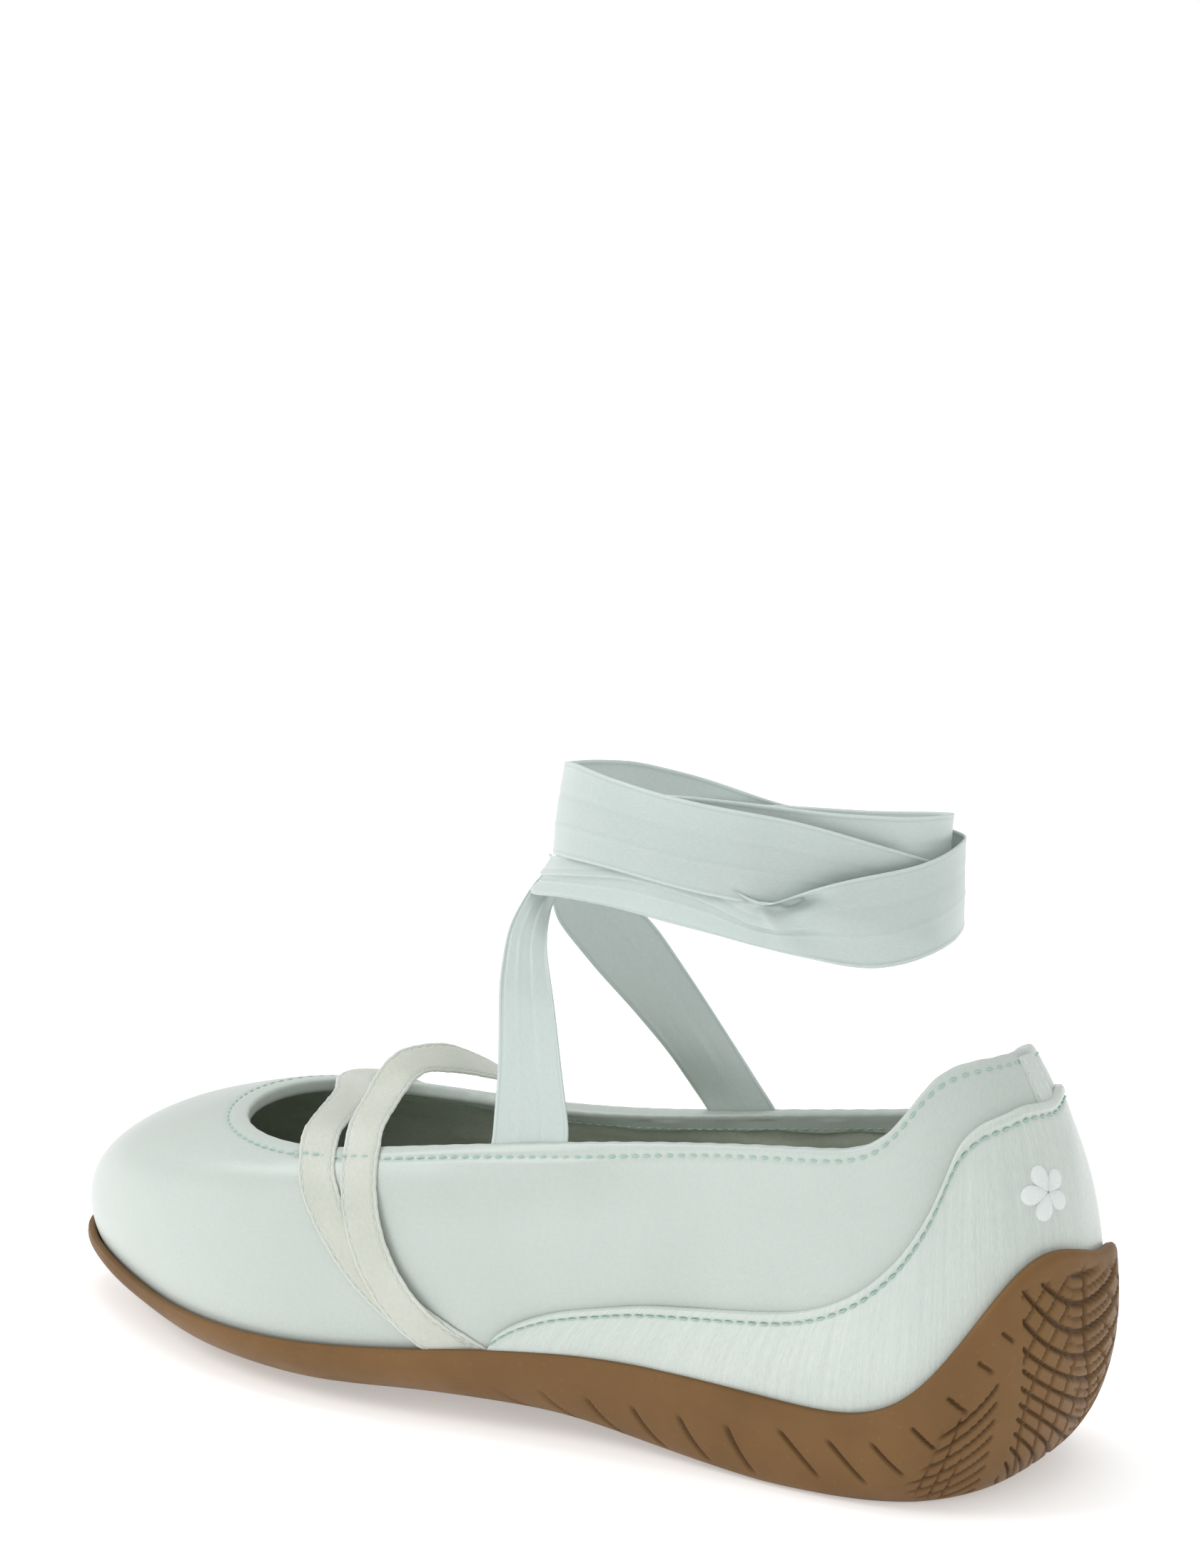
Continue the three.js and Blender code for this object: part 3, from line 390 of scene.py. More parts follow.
def stretched(tree, place, scale, turn=0.0):
    """A place scaled and turned by a Mapping node."""
    made = node(tree, "ShaderNodeMapping", [("Vector", place)])
    made.inputs["Rotation"].default_value = (0, 0, turn)
    made.inputs["Scale"].default_value = (*scale, 1)
    return made.outputs["Vector"]


def relief_on(tree, height, strength, distance, under=()):
    """A bump from a height, over the normal of another."""
    links = [("Height", height), *(("Normal", normal) for normal in under)]
    return node(tree, "ShaderNodeBump", links, Strength=strength, Distance=distance).outputs["Normal"]


def woven(name, colour, shade, roughness, thread=0.34, turn=0.6, float_length=5.0, relief=0.12, sheen=0.2,
          specular=0.5, cloudy=0.5, crease=0.25, fuzz=0.0, painted_streak=0.0, edges=None, translucent=0.0):
    """A woven cloth on the piece's own millimetres: slanting floats of thread (a stretched noise), fine
    slubs, slow clouds between two shades, and soft creases in the relief. Painted sheen streaks run along
    the piece's height; edges = (low, high) puts a paler selvedge with a darker line beside it at both."""
    look, tree, shader = finish_named(name, roughness, specular, sheen)
    shader.inputs["Subsurface Weight"].default_value = translucent
    shader.inputs["Subsurface Radius"].default_value = (1, 1, 1)
    shader.inputs["Subsurface Scale"].default_value = 0.002
    flat = node(tree, "ShaderNodeUVMap", uv_map="millimetres").outputs["UV"]
    body = node(tree, "ShaderNodeTexCoord").outputs["Object"]
    slanting = stretched(tree, flat, (1 / thread, 1 / (thread * float_length)), turn)
    floats = noise(tree, slanting, 1.0, 1.5, 0.6, "2D")
    clouds = noise(tree, body, 38.0, 3.0, 0.55)
    folds = noise(tree, body, 95.0, 2.0, 0.5)
    slubs = noise(tree, flat, 0.9, 4.0, 0.7, "2D")
    ground = tinted(tree, spread(tree, clouds, 0.32, 0.68, 0.0, cloudy), colour, shade)
    tone = joined(tree, "MULTIPLY", spread(tree, floats, 0.3, 0.7, 0.96, 1.03),
                  spread(tree, slubs, 0.3, 0.75, 1.012, 0.982))
    if painted_streak:
        # Painted sheen: streaks of lighter and darker colour along the piece's height.
        painted_streak_noise = noise(tree, stretched(tree, flat, (0.9, 0.035)), 1.0, 4.0, 0.65, "2D")
        tone = joined(tree, "MULTIPLY", tone, spread(tree, painted_streak_noise, 0.3, 0.7, 1 - painted_streak, 1 + painted_streak))
    if edges:
        across = node(tree, "ShaderNodeSeparateXYZ", [("Vector", flat)]).outputs["X"]
        margin = joined(tree, "MINIMUM", joined(tree, "SUBTRACT", across, edges[0]),
                        joined(tree, "SUBTRACT", edges[1], across))
        rim = joined(tree, "ADD", spread(tree, margin, 0.35, 0.75, 1.07, 0.88),
                     spread(tree, margin, 0.75, 1.15, 0.0, 0.12))
        tone = joined(tree, "MULTIPLY", tone, rim)
    toned = node(tree, "ShaderNodeVectorMath", [(0, ground), ("Scale", tone)], operation="SCALE")
    tree.links.new(toned.outputs["Vector"], shader.inputs["Base Color"])
    uneven = spread(tree, floats, 0.3, 0.7, roughness - 0.06, roughness + 0.07)
    tree.links.new(uneven, shader.inputs["Roughness"])
    normal = relief_on(tree, folds, crease, 0.0012)
    normal = relief_on(tree, floats, relief, 0.00025, [normal])
    if fuzz:
        normal = relief_on(tree, noise(tree, flat, 4.0, 3.0, 0.8, "2D"), fuzz, 0.0003, [normal])
    tree.links.new(normal, shader.inputs["Normal"])
    return look


def moulded(name, colour, shade, roughness):
    """Gum rubber: slow colour clouds, pale dust specks, painted shade down in the grooves, a fine grain and
    an uneven gloss.
    """
    look, tree, shader = finish_named(name, roughness, 0.22)
    body = node(tree, "ShaderNodeTexCoord").outputs["Object"]
    clouds = noise(tree, body, 45.0, 4.0, 0.6)
    specks = node(tree, "ShaderNodeTexVoronoi", [("Vector", body)], Scale=420.0)
    ground = tinted(tree, spread(tree, clouds, 0.3, 0.7, 0.0, 1.0), colour, shade)
    dusty = tinted(tree, spread(tree, specks.outputs["Distance"], 0.03, 0.16, 0.22, 0.0), ground, "#96784f")
    # Painted shade: the base colour darkens towards #3a2612 with each point's groove depth.
    grooves = node(tree, "ShaderNodeAttribute", attribute_name="groove")
    groove_painted_shade = tinted(tree, spread(tree, grooves.outputs["Fac"], 0.0, 1.0, 0.0, 0.72), dusty, "#3a2612")
    tree.links.new(groove_painted_shade, shader.inputs["Base Color"])
    gloss = spread(tree, clouds, 0.3, 0.7, roughness - 0.08, roughness + 0.08)
    tree.links.new(gloss, shader.inputs["Roughness"])
    grain = relief_on(tree, noise(tree, body, 900.0, 3.0, 0.6), 0.12, 0.0003)
    tree.links.new(grain, shader.inputs["Normal"])
    return look


# Duchess satin of the upper: pale mint, soft broad gloss, fine slanting floats.
SATIN = woven("mint_satin", "#bcc5bf", "#b5beb8", 0.34, thread=0.28, turn=0.9, relief=0.1, crease=0.1)
# The same satin on the overlay and the back strip, with the floats upright and a brighter gloss; its
# paler base colour and its streaks along the height are painted sheen.
SATIN_UPRIGHT = woven("mint_satin_upright", "#c6cec8", "#b8c3bd", 0.3, thread=0.26, turn=0.0,
                      float_length=9.0, relief=0.14, specular=0.6, crease=0.12, painted_streak=0.045)
# Satin ribbon with fine twill floats.
RIBBON = woven("ribbon_satin", "#b8c4c0", "#aebbb7", 0.38, thread=0.24, turn=1.0, relief=0.1, cloudy=0.4,
               crease=0.05, edges=(0, RIBBON_W), translucent=0.35)
# Elastic strap: off-white, ribbed along its length.
STRAP = woven("elastic_strap", "#cdd0c6", "#bcc1b4", 0.38, thread=0.3, turn=1.45, float_length=4.0,
              relief=0.5, sheen=0.25, cloudy=0.8, crease=0.3, fuzz=0.2, edges=(-STRAP_W / 2, STRAP_W / 2),
              translucent=0.6)
# Cotton lining: sage grey, matt, with a visible twill.
LINING = woven("lining_twill", "#b7bdb0", "#a3aa9b", 0.86, thread=0.42, turn=0.75, float_length=3.0,
               relief=0.5, sheen=0.15, specular=0.25, crease=0.6, fuzz=0.3)
# Polyester sewing thread: a deeper mint than the satin, a pale one, and the blossom's white.
THREAD, PALE_THREAD, WHITE_THREAD = (
    woven(name, colour, shade, roughness, thread=0.12, turn=0.8, relief=0.4)
    for name, colour, shade, roughness in (("mint_thread", "#a4c5b9", "#98bbae", 0.5),
                                           ("pale_thread", "#d3ddd9", "#c9d5d1", 0.45),
                                           ("white_thread", "#dfe5e2", "#d2dad7", 0.4)))
# Translucent brown gum rubber, with painted shade darkening it down in its grooves.
GUM = moulded("gum_rubber", "#785934", "#6c4f2d", 0.5)
# Inside layers that stay as the CAD has them.
BOARD = woven("fibre_board", "#b79c72", "#a88c63", 0.9, thread=0.5, relief=0.2, sheen=0.0)
FOAM = woven("open_cell_foam", "#d9d6cb", "#cfcabb", 0.95, thread=0.6, float_length=1.0, relief=0.5,
             sheen=0.1)
STIFFENER = woven("stiffener_felt", "#e4dfd2", "#d6d0c2", 0.9, thread=0.5, float_length=2.0, relief=0.3)


# --- Camera ---

AZIMUTH, ELEVATION, ROLL = np.radians((30.5, 11.5, 0.27))
AIM = Vector((0.011165, -0.000904, 0.128615))
DISTANCE = 0.85


def camera():
    """A lens of 95.83 mm, 0.85 m from the aim, to the right of the outer side and a little above."""
    level = Vector((np.cos(AZIMUTH), np.sin(AZIMUTH), 0))
    back = Vector((level.y, -level.x, 0)) * np.cos(ELEVATION) + Vector((0, 0, np.sin(ELEVATION)))
    rise = back.cross(level)
    right = level * np.cos(ROLL) + rise * np.sin(ROLL)
    above = -level * np.sin(ROLL) + rise * np.cos(ROLL)
    data = bpy.data.cameras.new("camera")
    data.lens, data.sensor_width, data.sensor_fit = 95.83, 36.0, "AUTO"
    data.dof.use_dof = False
    data.clip_start, data.clip_end = 0.01, 50.0
    made = bpy.data.objects.new("camera", data)
    turned = Matrix((right, above, back)).transposed().to_4x4()
    made.matrix_world = Matrix.Translation(AIM + back * DISTANCE) @ turned
    bpy.context.scene.collection.objects.link(made)
    bpy.context.scene.camera = made


camera()


# --- Rubber cup sole ---

# The grooves' depth, and the row up the side along which distances round it are measured.
GROOVE_DEPTH = 1.1
MEASURED_ROW = 36


def rubber_edge(q):
    """Where the wall reaches the rubber's height: its h, the cup's inner lip and its outer lip."""
    row = around(RUBBER, q)
    h = height_on_wall(q, row[..., 0])
    return h, layer(q, h, OUTSIDE), layer(q, h, OUTSIDE + row[..., 1])


def tread_edge(q):
    """The tread's edge, pressed flat where it stands on the ground."""
    edge = around(TREAD, q)
    edge[..., 2] = np.maximum(0, edge[..., 2] - FLATTEN)
    return edge


def rubber_side(q, v):
    """The rubber's side: a cubic from the tread edge (v = 0) to the outer lip (v = 1)."""
    ends = (a[:, None] for a in (tread_edge(q), rubber_edge(q)[2], around(SIDE, q), outward(q)))
    return risen(*ends, v[None, :, None])


def cut(distance, width):
    """A groove's depth share: 1 on its line, falling to 0 at its width."""
    return 1 - smooth(0.25 * width, width, np.abs(distance))


def family(phase, pitch, width):
    """Parallel grooves where phase, in millimetres, passes a whole number of pitches."""
    return cut((phase / pitch - np.round(phase / pitch)) * pitch, width)


def segments(s, w, ends, width):
    """Grooves along straight segments ((s, w) to (s, w)), each narrowing to nothing at both ends."""
    depth = np.zeros_like(s)
    for s0, w0, s1, w1 in ends:
        reach = (s1 - s0) ** 2 + (w1 - w0) ** 2
        t = np.clip(((s - s0) * (s1 - s0) + (w - w0) * (w1 - w0)) / reach, 0, 1)
        away = np.hypot(s - s0 - t * (s1 - s0), w - w0 - t * (w1 - w0))
        depth = np.maximum(depth, cut(away, width) * smooth(0, 0.15, t) * (1 - smooth(0.8, 1.0, t)))
    return depth


def tread_depth(s, w):
    """How deep the pattern is cut, from 0 to 1, at s millimetres round from the heel's middle and w up the
    side. Round a slanting centre groove lie scallops that sag to it as 0.075 a^2 / (1 + 0.035 a), and bowed
    uprights make lozenges of them. A smooth channel edges them, with a feather of falling curved grooves
    beyond it, then single dashes that lengthen along the side, slanting sweeps under the waist, and notches
    under the ball."""
    centre_line = -6 + 13 * smooth(6, 40, w)
    border = 18.9 + 0.08 * w
    turned = centre_line + (centre_line - s) * (border - centre_line) / (border + centre_line)
    x = np.where(s > centre_line, s, turned)
    a = x - centre_line
    inside = (1 - smooth(border - 0.5, border + 0.2, x)) * smooth(0.8, 2.5, w)
    inside = inside * (1 - smooth(48, 49.5, w))
    sag = 0.075 * a**2 / (1 + 0.035 * a)
    scallops = family(w - sag - 42.4, 5.7, 0.9) * inside
    ribs = family(w - sag - 39.5, 5.7, 0.45) * inside * (1 - smooth(4, 6, a)) * 0.5
    lozenges = family(x + 0.0175 * (w - 22) ** 2 - 14.2, 4.8, 0.5) * inside * smooth(2.5, 4, a) * 0.6
    centre = cut(a, 0.55) * smooth(1, 3, w) * (1 - smooth(48.5, 50.5, w)) * 0.8
    side = np.abs(s)
    b = side - border - 5.2
    fall = w + 22 * (1 - np.exp(-np.maximum(b, 0) / 22)) * (0.72 + 0.02 * w)
    zone = smooth(-0.4, 0.3, b) * (1 - smooth(31, 32.5, fall)) * smooth(1, 2.5, w)
    zone = zone * (1 - smooth(0, 5, b - 9 - 5 * bump(fall - 17, 6)))
    feather = family(fall - 30, 3.85, 0.7) * zone
    barbs = family(side + 0.1 * w, 3.3, 0.45) * zone * smooth(5, 8, b) * 0.5
    k = np.arange(7.0)
    start = np.stack([26.8 + 4.6 * k + 0.5 * k**2, 15 + 27.5 * (1 - smooth(-0.9, 4.8, k))], 1)
    reach = np.stack([3 + 0.9 * k + 0.25 * k**2, 2.4 + 0.3 * k + 0.2 * k**2], 1)
    reach = np.minimum(reach, [12.5, 9.8])
    dashes = segments(side, w, np.hstack([start, start - reach]), 0.5) * 0.75
    sweep = side + 12 * np.clip(1 - w / 15, 0, 1) ** 1.3 - 83.5
    sweeps = family(sweep, 10.5, 0.75) * smooth(2.5, 4.5, w) * (1 - smooth(11.5, 14, w))
    sweeps = sweeps * smooth(-5, 0, sweep) * (1 - smooth(95, 150, side)) * 0.8
    notches = family(side, 4.7, 1.0) * smooth(156, 160, side) * (1 - smooth(180, 184, side))
    notches = notches * (1 - smooth(4, 6, w))
    cuts = [scallops, ribs, lozenges, centre, feather, barbs, dashes, sweeps, notches]
    return np.clip(np.maximum.reduce(cuts), 0, 1)


def outsole():
    """The cup: underside, grooved side, rounded lip, inner face and floor, closed on the middle line."""
    dense = np.concatenate([np.linspace(start, stop, count)[1:] for start, stop, count in
                            ((0, 0.12, 170), (0.12, 0.2, 105), (0.2, 0.33, 120), (0.33, 0.5, 30))])
    q = np.concatenate([[0], dense, 1 - dense[-2::-1]])
    v = np.linspace(0, 1, 94)
    side = rubber_side(q, v)
    middle = side[:, MEASURED_ROW]
    run = along(np.vstack([middle, middle[:1]]))
    s = np.where(q > 0.5, run[:-1] - run[-1], run[:-1])
    w = climbed(side)
    by_q = np.roll(side, -1, 0) - np.roll(side, 1, 0)
    normal = unit(np.cross(by_q, np.gradient(side, axis=1)))
    normal *= np.sign((normal[0, MEASURED_ROW] * outward(q[:1])[0]).sum())
    fade = smooth(0, 0.05, v) * (1 - smooth(0.94, 0.99, v))
    depth = tread_depth(np.broadcast_to(s[:, None], w.shape), w) * fade
    side = side - normal * GROOVE_DEPTH * depth[..., None]
    side = side + normal * (0.12 * ripple(side, 30, 5) * fade)[..., None]
    h, inner, outer = rubber_edge(q)
    rise = wall_frame(q, h)[1] * around(RUBBER, q)[:, 1:] / 2
    crown = [mix(outer, inner, part) + rise * up
             for part, up in ((0.075, 0.5), (0.25, 0.85), (0.6, 0.8), (0.9, 0.35))]
    inside = [layer(q, h * part, OUTSIDE) for part in (0.95, 0.6, 0.3, 0.0)]
    floor = around(FEATHER, q) - outward(q) * INSOLE_INSET - UP * 1.2
    mirror = np.concatenate([[0], np.arange(len(q) - 1, 0, -1)])
    low = side[:, 0]
    under = [mix(low, (low + low[mirror]) / 2, part) for part in np.linspace(1, 0, 9)[:-1] ** 1.2]
    deck = [mix(floor, (floor + floor[mirror]) / 2, part) for part in np.linspace(0, 1, 5)[1:]]
    rings = np.stack(under + list(np.moveaxis(side, 1, 0)) + crown + inside + [floor] + deck, 1)
    n, m = rings.shape[:2]
    i, j = np.meshgrid(np.arange(n), np.arange(m - 1), indexing="ij")
    after = (i + 1) % n * m
    quads = np.stack([i * m + j, after + j, after + j + 1, i * m + j + 1], -1).reshape(-1, 4)
    points = rings.reshape(-1, 3)
    uv = points[:, [0, 2]][quads].reshape(-1, 2)
    piece = make("cup_outsole", points, quads.tolist(), uv, GUM)
    # Each point's groove depth, which the gum's material turns into painted shade.
    groove = np.zeros((n, m))
    groove[:, len(under):len(under) + len(v)] = depth
    piece.data.attributes.new("groove", "FLOAT", "POINT").data.foreach_set("value", groove.ravel())
    work = bmesh.new()
    work.from_mesh(piece.data)
    bmesh.ops.remove_doubles(work, verts=work.verts, dist=2e-6)
    bmesh.ops.recalc_face_normals(work, faces=work.faces)
    work.to_mesh(piece.data)
    work.free()
    piece.data.polygons.foreach_set("use_smooth", np.full(len(piece.data.polygons), True))
    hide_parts("outsole")


outsole()


# --- Satin upper ---

# Distances from the wall: the satin's face, the lining's outer face, and the satin turned over its edge,
# which is a fold of CLOTH_T round the middle EDGE_MID.
CLOTH_T = 0.4
EDGE_OUT = UPPER_T
LINING_FACE = -1.2
EDGE_IN = LINING_FACE - LINING_T - CLOTH_T
EDGE_R = (EDGE_OUT - EDGE_IN) / 2
EDGE_MID = (EDGE_OUT + EDGE_IN) / 2


def seam_distance(q):
    """How far below the topline its stitching runs: 1.2 mm, 2.2 mm at the straps and 3.3 mm at the throat."""
    away = np.abs(q - np.round(q))
    return 1.2 + smooth(0.22, 0.3, away) + 1.1 * smooth(0.33, 0.4, away)


def puckers(q, below, run, pitch=2.6):
    """Relief at the stitching: a groove along it, deepest under each stitch end, and a swelling above it."""
    at = seam_distance(q)
    groove = -0.26 * bump(below - at, 0.55) * (0.75 + 0.25 * np.cos(2 * np.pi * run / pitch))
    return groove + 0.1 * bump(below - at * 0.45, 1.1) + 0.05 * bump(below - at - 1.2, 0.8)


def satin_upper():
    """The upper's face from under the rubber to the topline, turned over the edge and 3 mm down inside."""
    q = np.arange(520) / 520
    top = around(TOPLINE, q)
    run = along(top)[:, None]
    column = q[:, None]
    below = np.concatenate([[9.0, 7.5, 6.2], np.arange(5.4, 0, -0.45)])
    scale = top_scale(q)[:, None]
    start = 1 - 10.0 / scale
    h = np.concatenate([np.linspace(0, 1, 36)[None] ** 0.9 * start, 1 - below / scale], 1)
    relief = puckers(column, (1 - h) * scale, run)
    body = wall(column, h)
    drape = 0.22 * ripple(body, 42, 1) + 0.10 * ripple(body, 17, 3)
    slack = smooth(0.05, 0.3, h) * (1 - smooth(0.9, 1.0, h))
    outer = EDGE_OUT + relief + drape * slack
    front, back = layer(column, h, outer), layer(column, h, outer - CLOTH_T)
    normal, rise = (a[:, None] for a in wall_frame(q, 1.0))
    turn = np.radians(np.linspace(8, 180, 15))[None, :, None]
    edge = top[:, None]
    plump = 1 + 0.05 * np.sin(2 * np.pi * run / 5.3)[..., None]
    squared = np.sign(np.cos(turn)) * np.abs(np.cos(turn)) ** 0.6

    def fold(radius):
        """The turned edge: a squared half circle, a little lower than round."""
        level = EDGE_MID + radius * squared
        return edge + normal * level + rise * 0.75 * radius * np.sin(turn) ** 0.8 * plump

    inside = 1 - np.linspace(0.1, 1, 7)[None] * (3.2 + 0.5 * np.sin(run / 9) * np.sin(run / 5.1)) / scale
    sag = 0.25 * ripple(wall(column, inside), 9, 8)
    front = np.concatenate([front, fold(EDGE_R), layer(column, inside, EDGE_IN + sag)], 1)
    back = np.concatenate([back, fold(EDGE_R - CLOTH_T), layer(column, inside, EDGE_IN + 0.3 + sag)], 1)
    piece = cloth("satin_upper", front, back, SATIN, ring=True)
    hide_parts("upper", "topline_binding")


satin_upper()


def topline_stitching():
    """Stitches round the topline at the seam's distance, lifted where they cross the straps' legs."""
    q = np.linspace(0, 1, 1400, endpoint=False)
    scale = top_scale(q)
    h = 1 - seam_distance(q) / scale
    top = around(TOPLINE, q)
    lift = np.zeros_like(q)
    for leg in (shape[key] for shape in STRAPS.values() for key in ("lateral", "medial")):
        crossing = 1 - smooth(3.6, 4.4, np.abs(top[:, 0] - leg["head"]))
        lift = np.maximum(lift, crossing * (np.sign(top[:, 1]) == leg["side"]))
    path = layer(q, h, EDGE_OUT - 0.12 + lift)
    stitches("topline_stitches", path, wall_frame(q, h)[0], THREAD, 2.6, 2.1, 0.22, closed=True)


# --- Lining, padded collar and sock ---

def collar_pad(q, h):
    """Thickness of the collar's foam: full round the heel between half height and the topline."""
    side = np.abs(q - np.round(q))
    return COLLAR_PAD_T * (1 - smooth(0.06, 0.15, side)) * smooth(0.5, 0.66, h) * (1 - smooth(0.82, 0.97, h))


def lining():
    """The lining's inner face from the sock to just under the turned edge, with slack and small folds."""
    q = np.arange(420) / 420
    h = np.linspace(0.03, 1, 40)[None] * (1 - 1 / top_scale(q))[:, None]
    column = q[:, None]
    body = wall(column, h)
    folds = 0.55 * ripple(body * [1, 1, 2.6], 26, 11) + 0.3 * ripple(body * [1, 1, 2.2], 9, 14)
    face = LINING_FACE - LINING_T + folds * smooth(0.1, 0.3, h) * (1 - smooth(0.86, 0.95, h))
    face = face - collar_pad(column, h) * 1.1 - 0.25 * bump((1 - h) * 60 - 9, 1.2)
    front, back = layer(column, h, face), layer(column, h, face + LINING_T)
    piece = cloth("twill_lining", front, back, LINING, ring=True)
    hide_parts("vamp_lining", "quarter_lining", "collar_foam")
    low = layer(q, 1 - 2.4 / top_scale(q), EDGE_IN - 0.05)
    stitches("edge_inside_stitches", low, -wall_frame(q, 0.94)[0], THREAD, 2.6, 1.9, 0.17, closed=True)


lining()


def sock():
    """The padded sock: a plate inset from the feather edge, crowned, dished under the heel and ball, with a
    rounded edge."""
    half = np.linspace(0.004, 0.496, 110)
    inset = INSOLE_INSET + GAP + 0.2
    across = np.concatenate([[0, 0.012, 0.035], np.linspace(0.08, 0.92, 15), [0.965, 0.988, 1]])
    low, high = ((around(FEATHER, q) - outward(q) * inset)[:, None] for q in (half, 1 - half))
    flat = mix(low, high, across[None, :, None])
    edge = 1 - (np.abs(2 * across - 1)) ** 10
    top = flat + UP * (4.3 + 1.7 * edge[None, :, None])
    dish = bump(np.hypot(flat[..., 0] - 32, flat[..., 1]), 20) + 0.7 * bump(flat[..., 0] - 165, 24)
    top = top - UP * (dish - 0.12 * ripple(flat, 14, 21))[..., None]
    bottom = flat + UP * 1.85
    piece = cloth("padded_sock", top, bottom, LINING)
    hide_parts("insole_cover", "insole_foam")


sock()


# --- Heel overlay, back strip and blossom ---

OVERLAY_FACE = OUTSIDE + OVERLAY_T
# The overlay's top edge by (d, z), from its front point to beside the heel's middle, and its h there.
OVERLAY_EDGE = np.array([
    [116.5, 15.5], [115.3, 20], [108, 25], [99, 28.5], [80, 32.6], [60, 34.8], [48, 36.4], [40, 38.9],
    [32, 43.8], [25.8, 50.6], [22, 58], [20.1, 65], [18.9, 71.5], [16.3, 75], [12, 77.2],
])
OVERLAY_BACK = 0.862
# Rough millimetres of heel wall for one unit of q and of h.
HEEL_SPREAD = np.array([500, 60])


def overlay_rim():
    """The overlay's top edge as (q, h), from its front point on the inner side round to the outer side's."""
    inner, outer = (np.stack(place_on_wall(side, *OVERLAY_EDGE.T), 1) for side in (1, -1))
    rim = np.vstack([inner - [1, 0], [[0, OVERLAY_BACK]], outer[::-1]]) * HEEL_SPREAD
    fine = eased(np.pad(rim, ((0, 0), (0, 1))), 0.5, 2.2)
    return (fine[:, :2] / HEEL_SPREAD).T


RIM_Q, RIM_H = overlay_rim()


def heel_overlay():
    """The overlay from under the rubber to its rim, where its turned edge swells, and it dips at the seam."""
    q = np.linspace(RIM_Q.min() + 0.001, RIM_Q.max() - 0.001, 620)
    top = np.interp(q, RIM_Q, RIM_H)
    low = rubber_edge(q)[0] - 0.05
    top = np.maximum(top, low + 0.012)
    scale = per_h(q, top)[:, None]
    span = (top - low)[:, None] * scale
    near = np.array([0, 0.12, 0.35, 0.7, 1.1, 1.5, 1.9, 2.2, 2.45, 2.7, 3.0, 3.4, 3.9, 4.5])[None]
    near = near * np.minimum(1, span / 7)
    rest = np.linspace(0, 1, 26)[None, 1:] * (span - near[:, -1:]) + near[:, -1:]
    down = np.concatenate([near, rest], 1)
    h = top[:, None] - down / scale
    run = along(np.stack([q, top], 1) * HEEL_SPREAD)[:, None]
    swell = 0.55 * smooth(0, 0.45, down) * (1 - smooth(1.7, 2.3, down))
    dip = -0.3 * bump(down - 2.75, 0.4) * (0.75 + 0.25 * np.cos(2 * np.pi * run / 2.5))
    body = wall(q[:, None], h)
    ease = 0.16 * ripple(body, 30, 31) + 0.06 * ripple(body * [1, 1, 0.4], 8, 33)
    face = OVERLAY_FACE - 0.45 * (1 - smooth(0, 0.5, down)) + swell + dip + ease * smooth(3, 8, down)
    piece = cloth("heel_overlay_satin", layer(q[:, None], h, face), layer(q[:, None], h, OUTSIDE - 0.35),
                  SATIN_UPRIGHT)
    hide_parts("heel_overlay")
    line = span[:, 0] > 6
    at = (top - 2.75 / scale[:, 0])[line]
    stitches("overlay_stitches", layer(q[line], at, OVERLAY_FACE - 0.1), wall_frame(q[line], at)[0], THREAD,
             2.5, 2.0, 0.22)


heel_overlay()


def back_strip():
    """A folded strip up the middle of the heel, from behind the overlay to the topline, with two seams."""
    across = np.linspace(-1, 1, 25)[:, None]
    h = np.linspace(OVERLAY_BACK - 0.06, 0.995, 30)
    half = 6.6 / HEEL_SPREAD[0]
    pillow = 0.55 * (1 - np.abs(across) ** 6) + 0.12 * bump(np.abs(across) - 0.45, 0.2)
    front = layer(across * half, h, UPPER_T + 0.15 + pillow)
    back = layer(across * half, h, UPPER_T - 0.1)
    piece = cloth("back_strip_satin", front, back, SATIN_UPRIGHT)
    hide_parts("back_tab")
    for side, name in ((-1, "inner"), (1, "outer")):
        q = side * half * 0.78
        stitches(f"back_strip_stitches_{name}", layer(q, h, UPPER_T + 0.5), wall_frame(q, h)[0], PALE_THREAD,
                 2.4, 1.9, 0.2)


back_strip()


def blossom():
    """Five satin stitch petals: a low dome with the rim r (0.42 + 0.58 |cos 2.5 a|^0.6), ridged by thread."""
    centre_q, centre_h, radius = 0.028, 0.645, 5.6
    angle = np.linspace(0, 2 * np.pi, 200, endpoint=False)[:, None]
    part = np.linspace(0.04, 1, 14)[None]
    petals = np.abs(np.cos(2.5 * angle))
    reach = part * radius * (0.42 + 0.58 * petals**0.6)
    per_q = np.linalg.norm(wall(centre_q + 1e-3, centre_h) - wall(centre_q, centre_h)) * 1e3
    q = centre_q + reach * np.cos(angle) / per_q
    h = centre_h + reach * np.sin(angle) / per_h(centre_q, centre_h)
    dome = 0.65 * (1 - part**3) ** 0.5 * (0.7 + 0.3 * petals)
    thread = 0.08 * np.sin(angle * 100)
    front = layer(q, h, OVERLAY_FACE + 0.1 + dome + thread * part)
    back = layer(q, h, OVERLAY_FACE - 0.2)
    piece = cloth("embroidered_blossom", front, back, WHITE_THREAD, ring=True)
    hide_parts("heel_blossom")


blossom()


# --- Instep straps ---

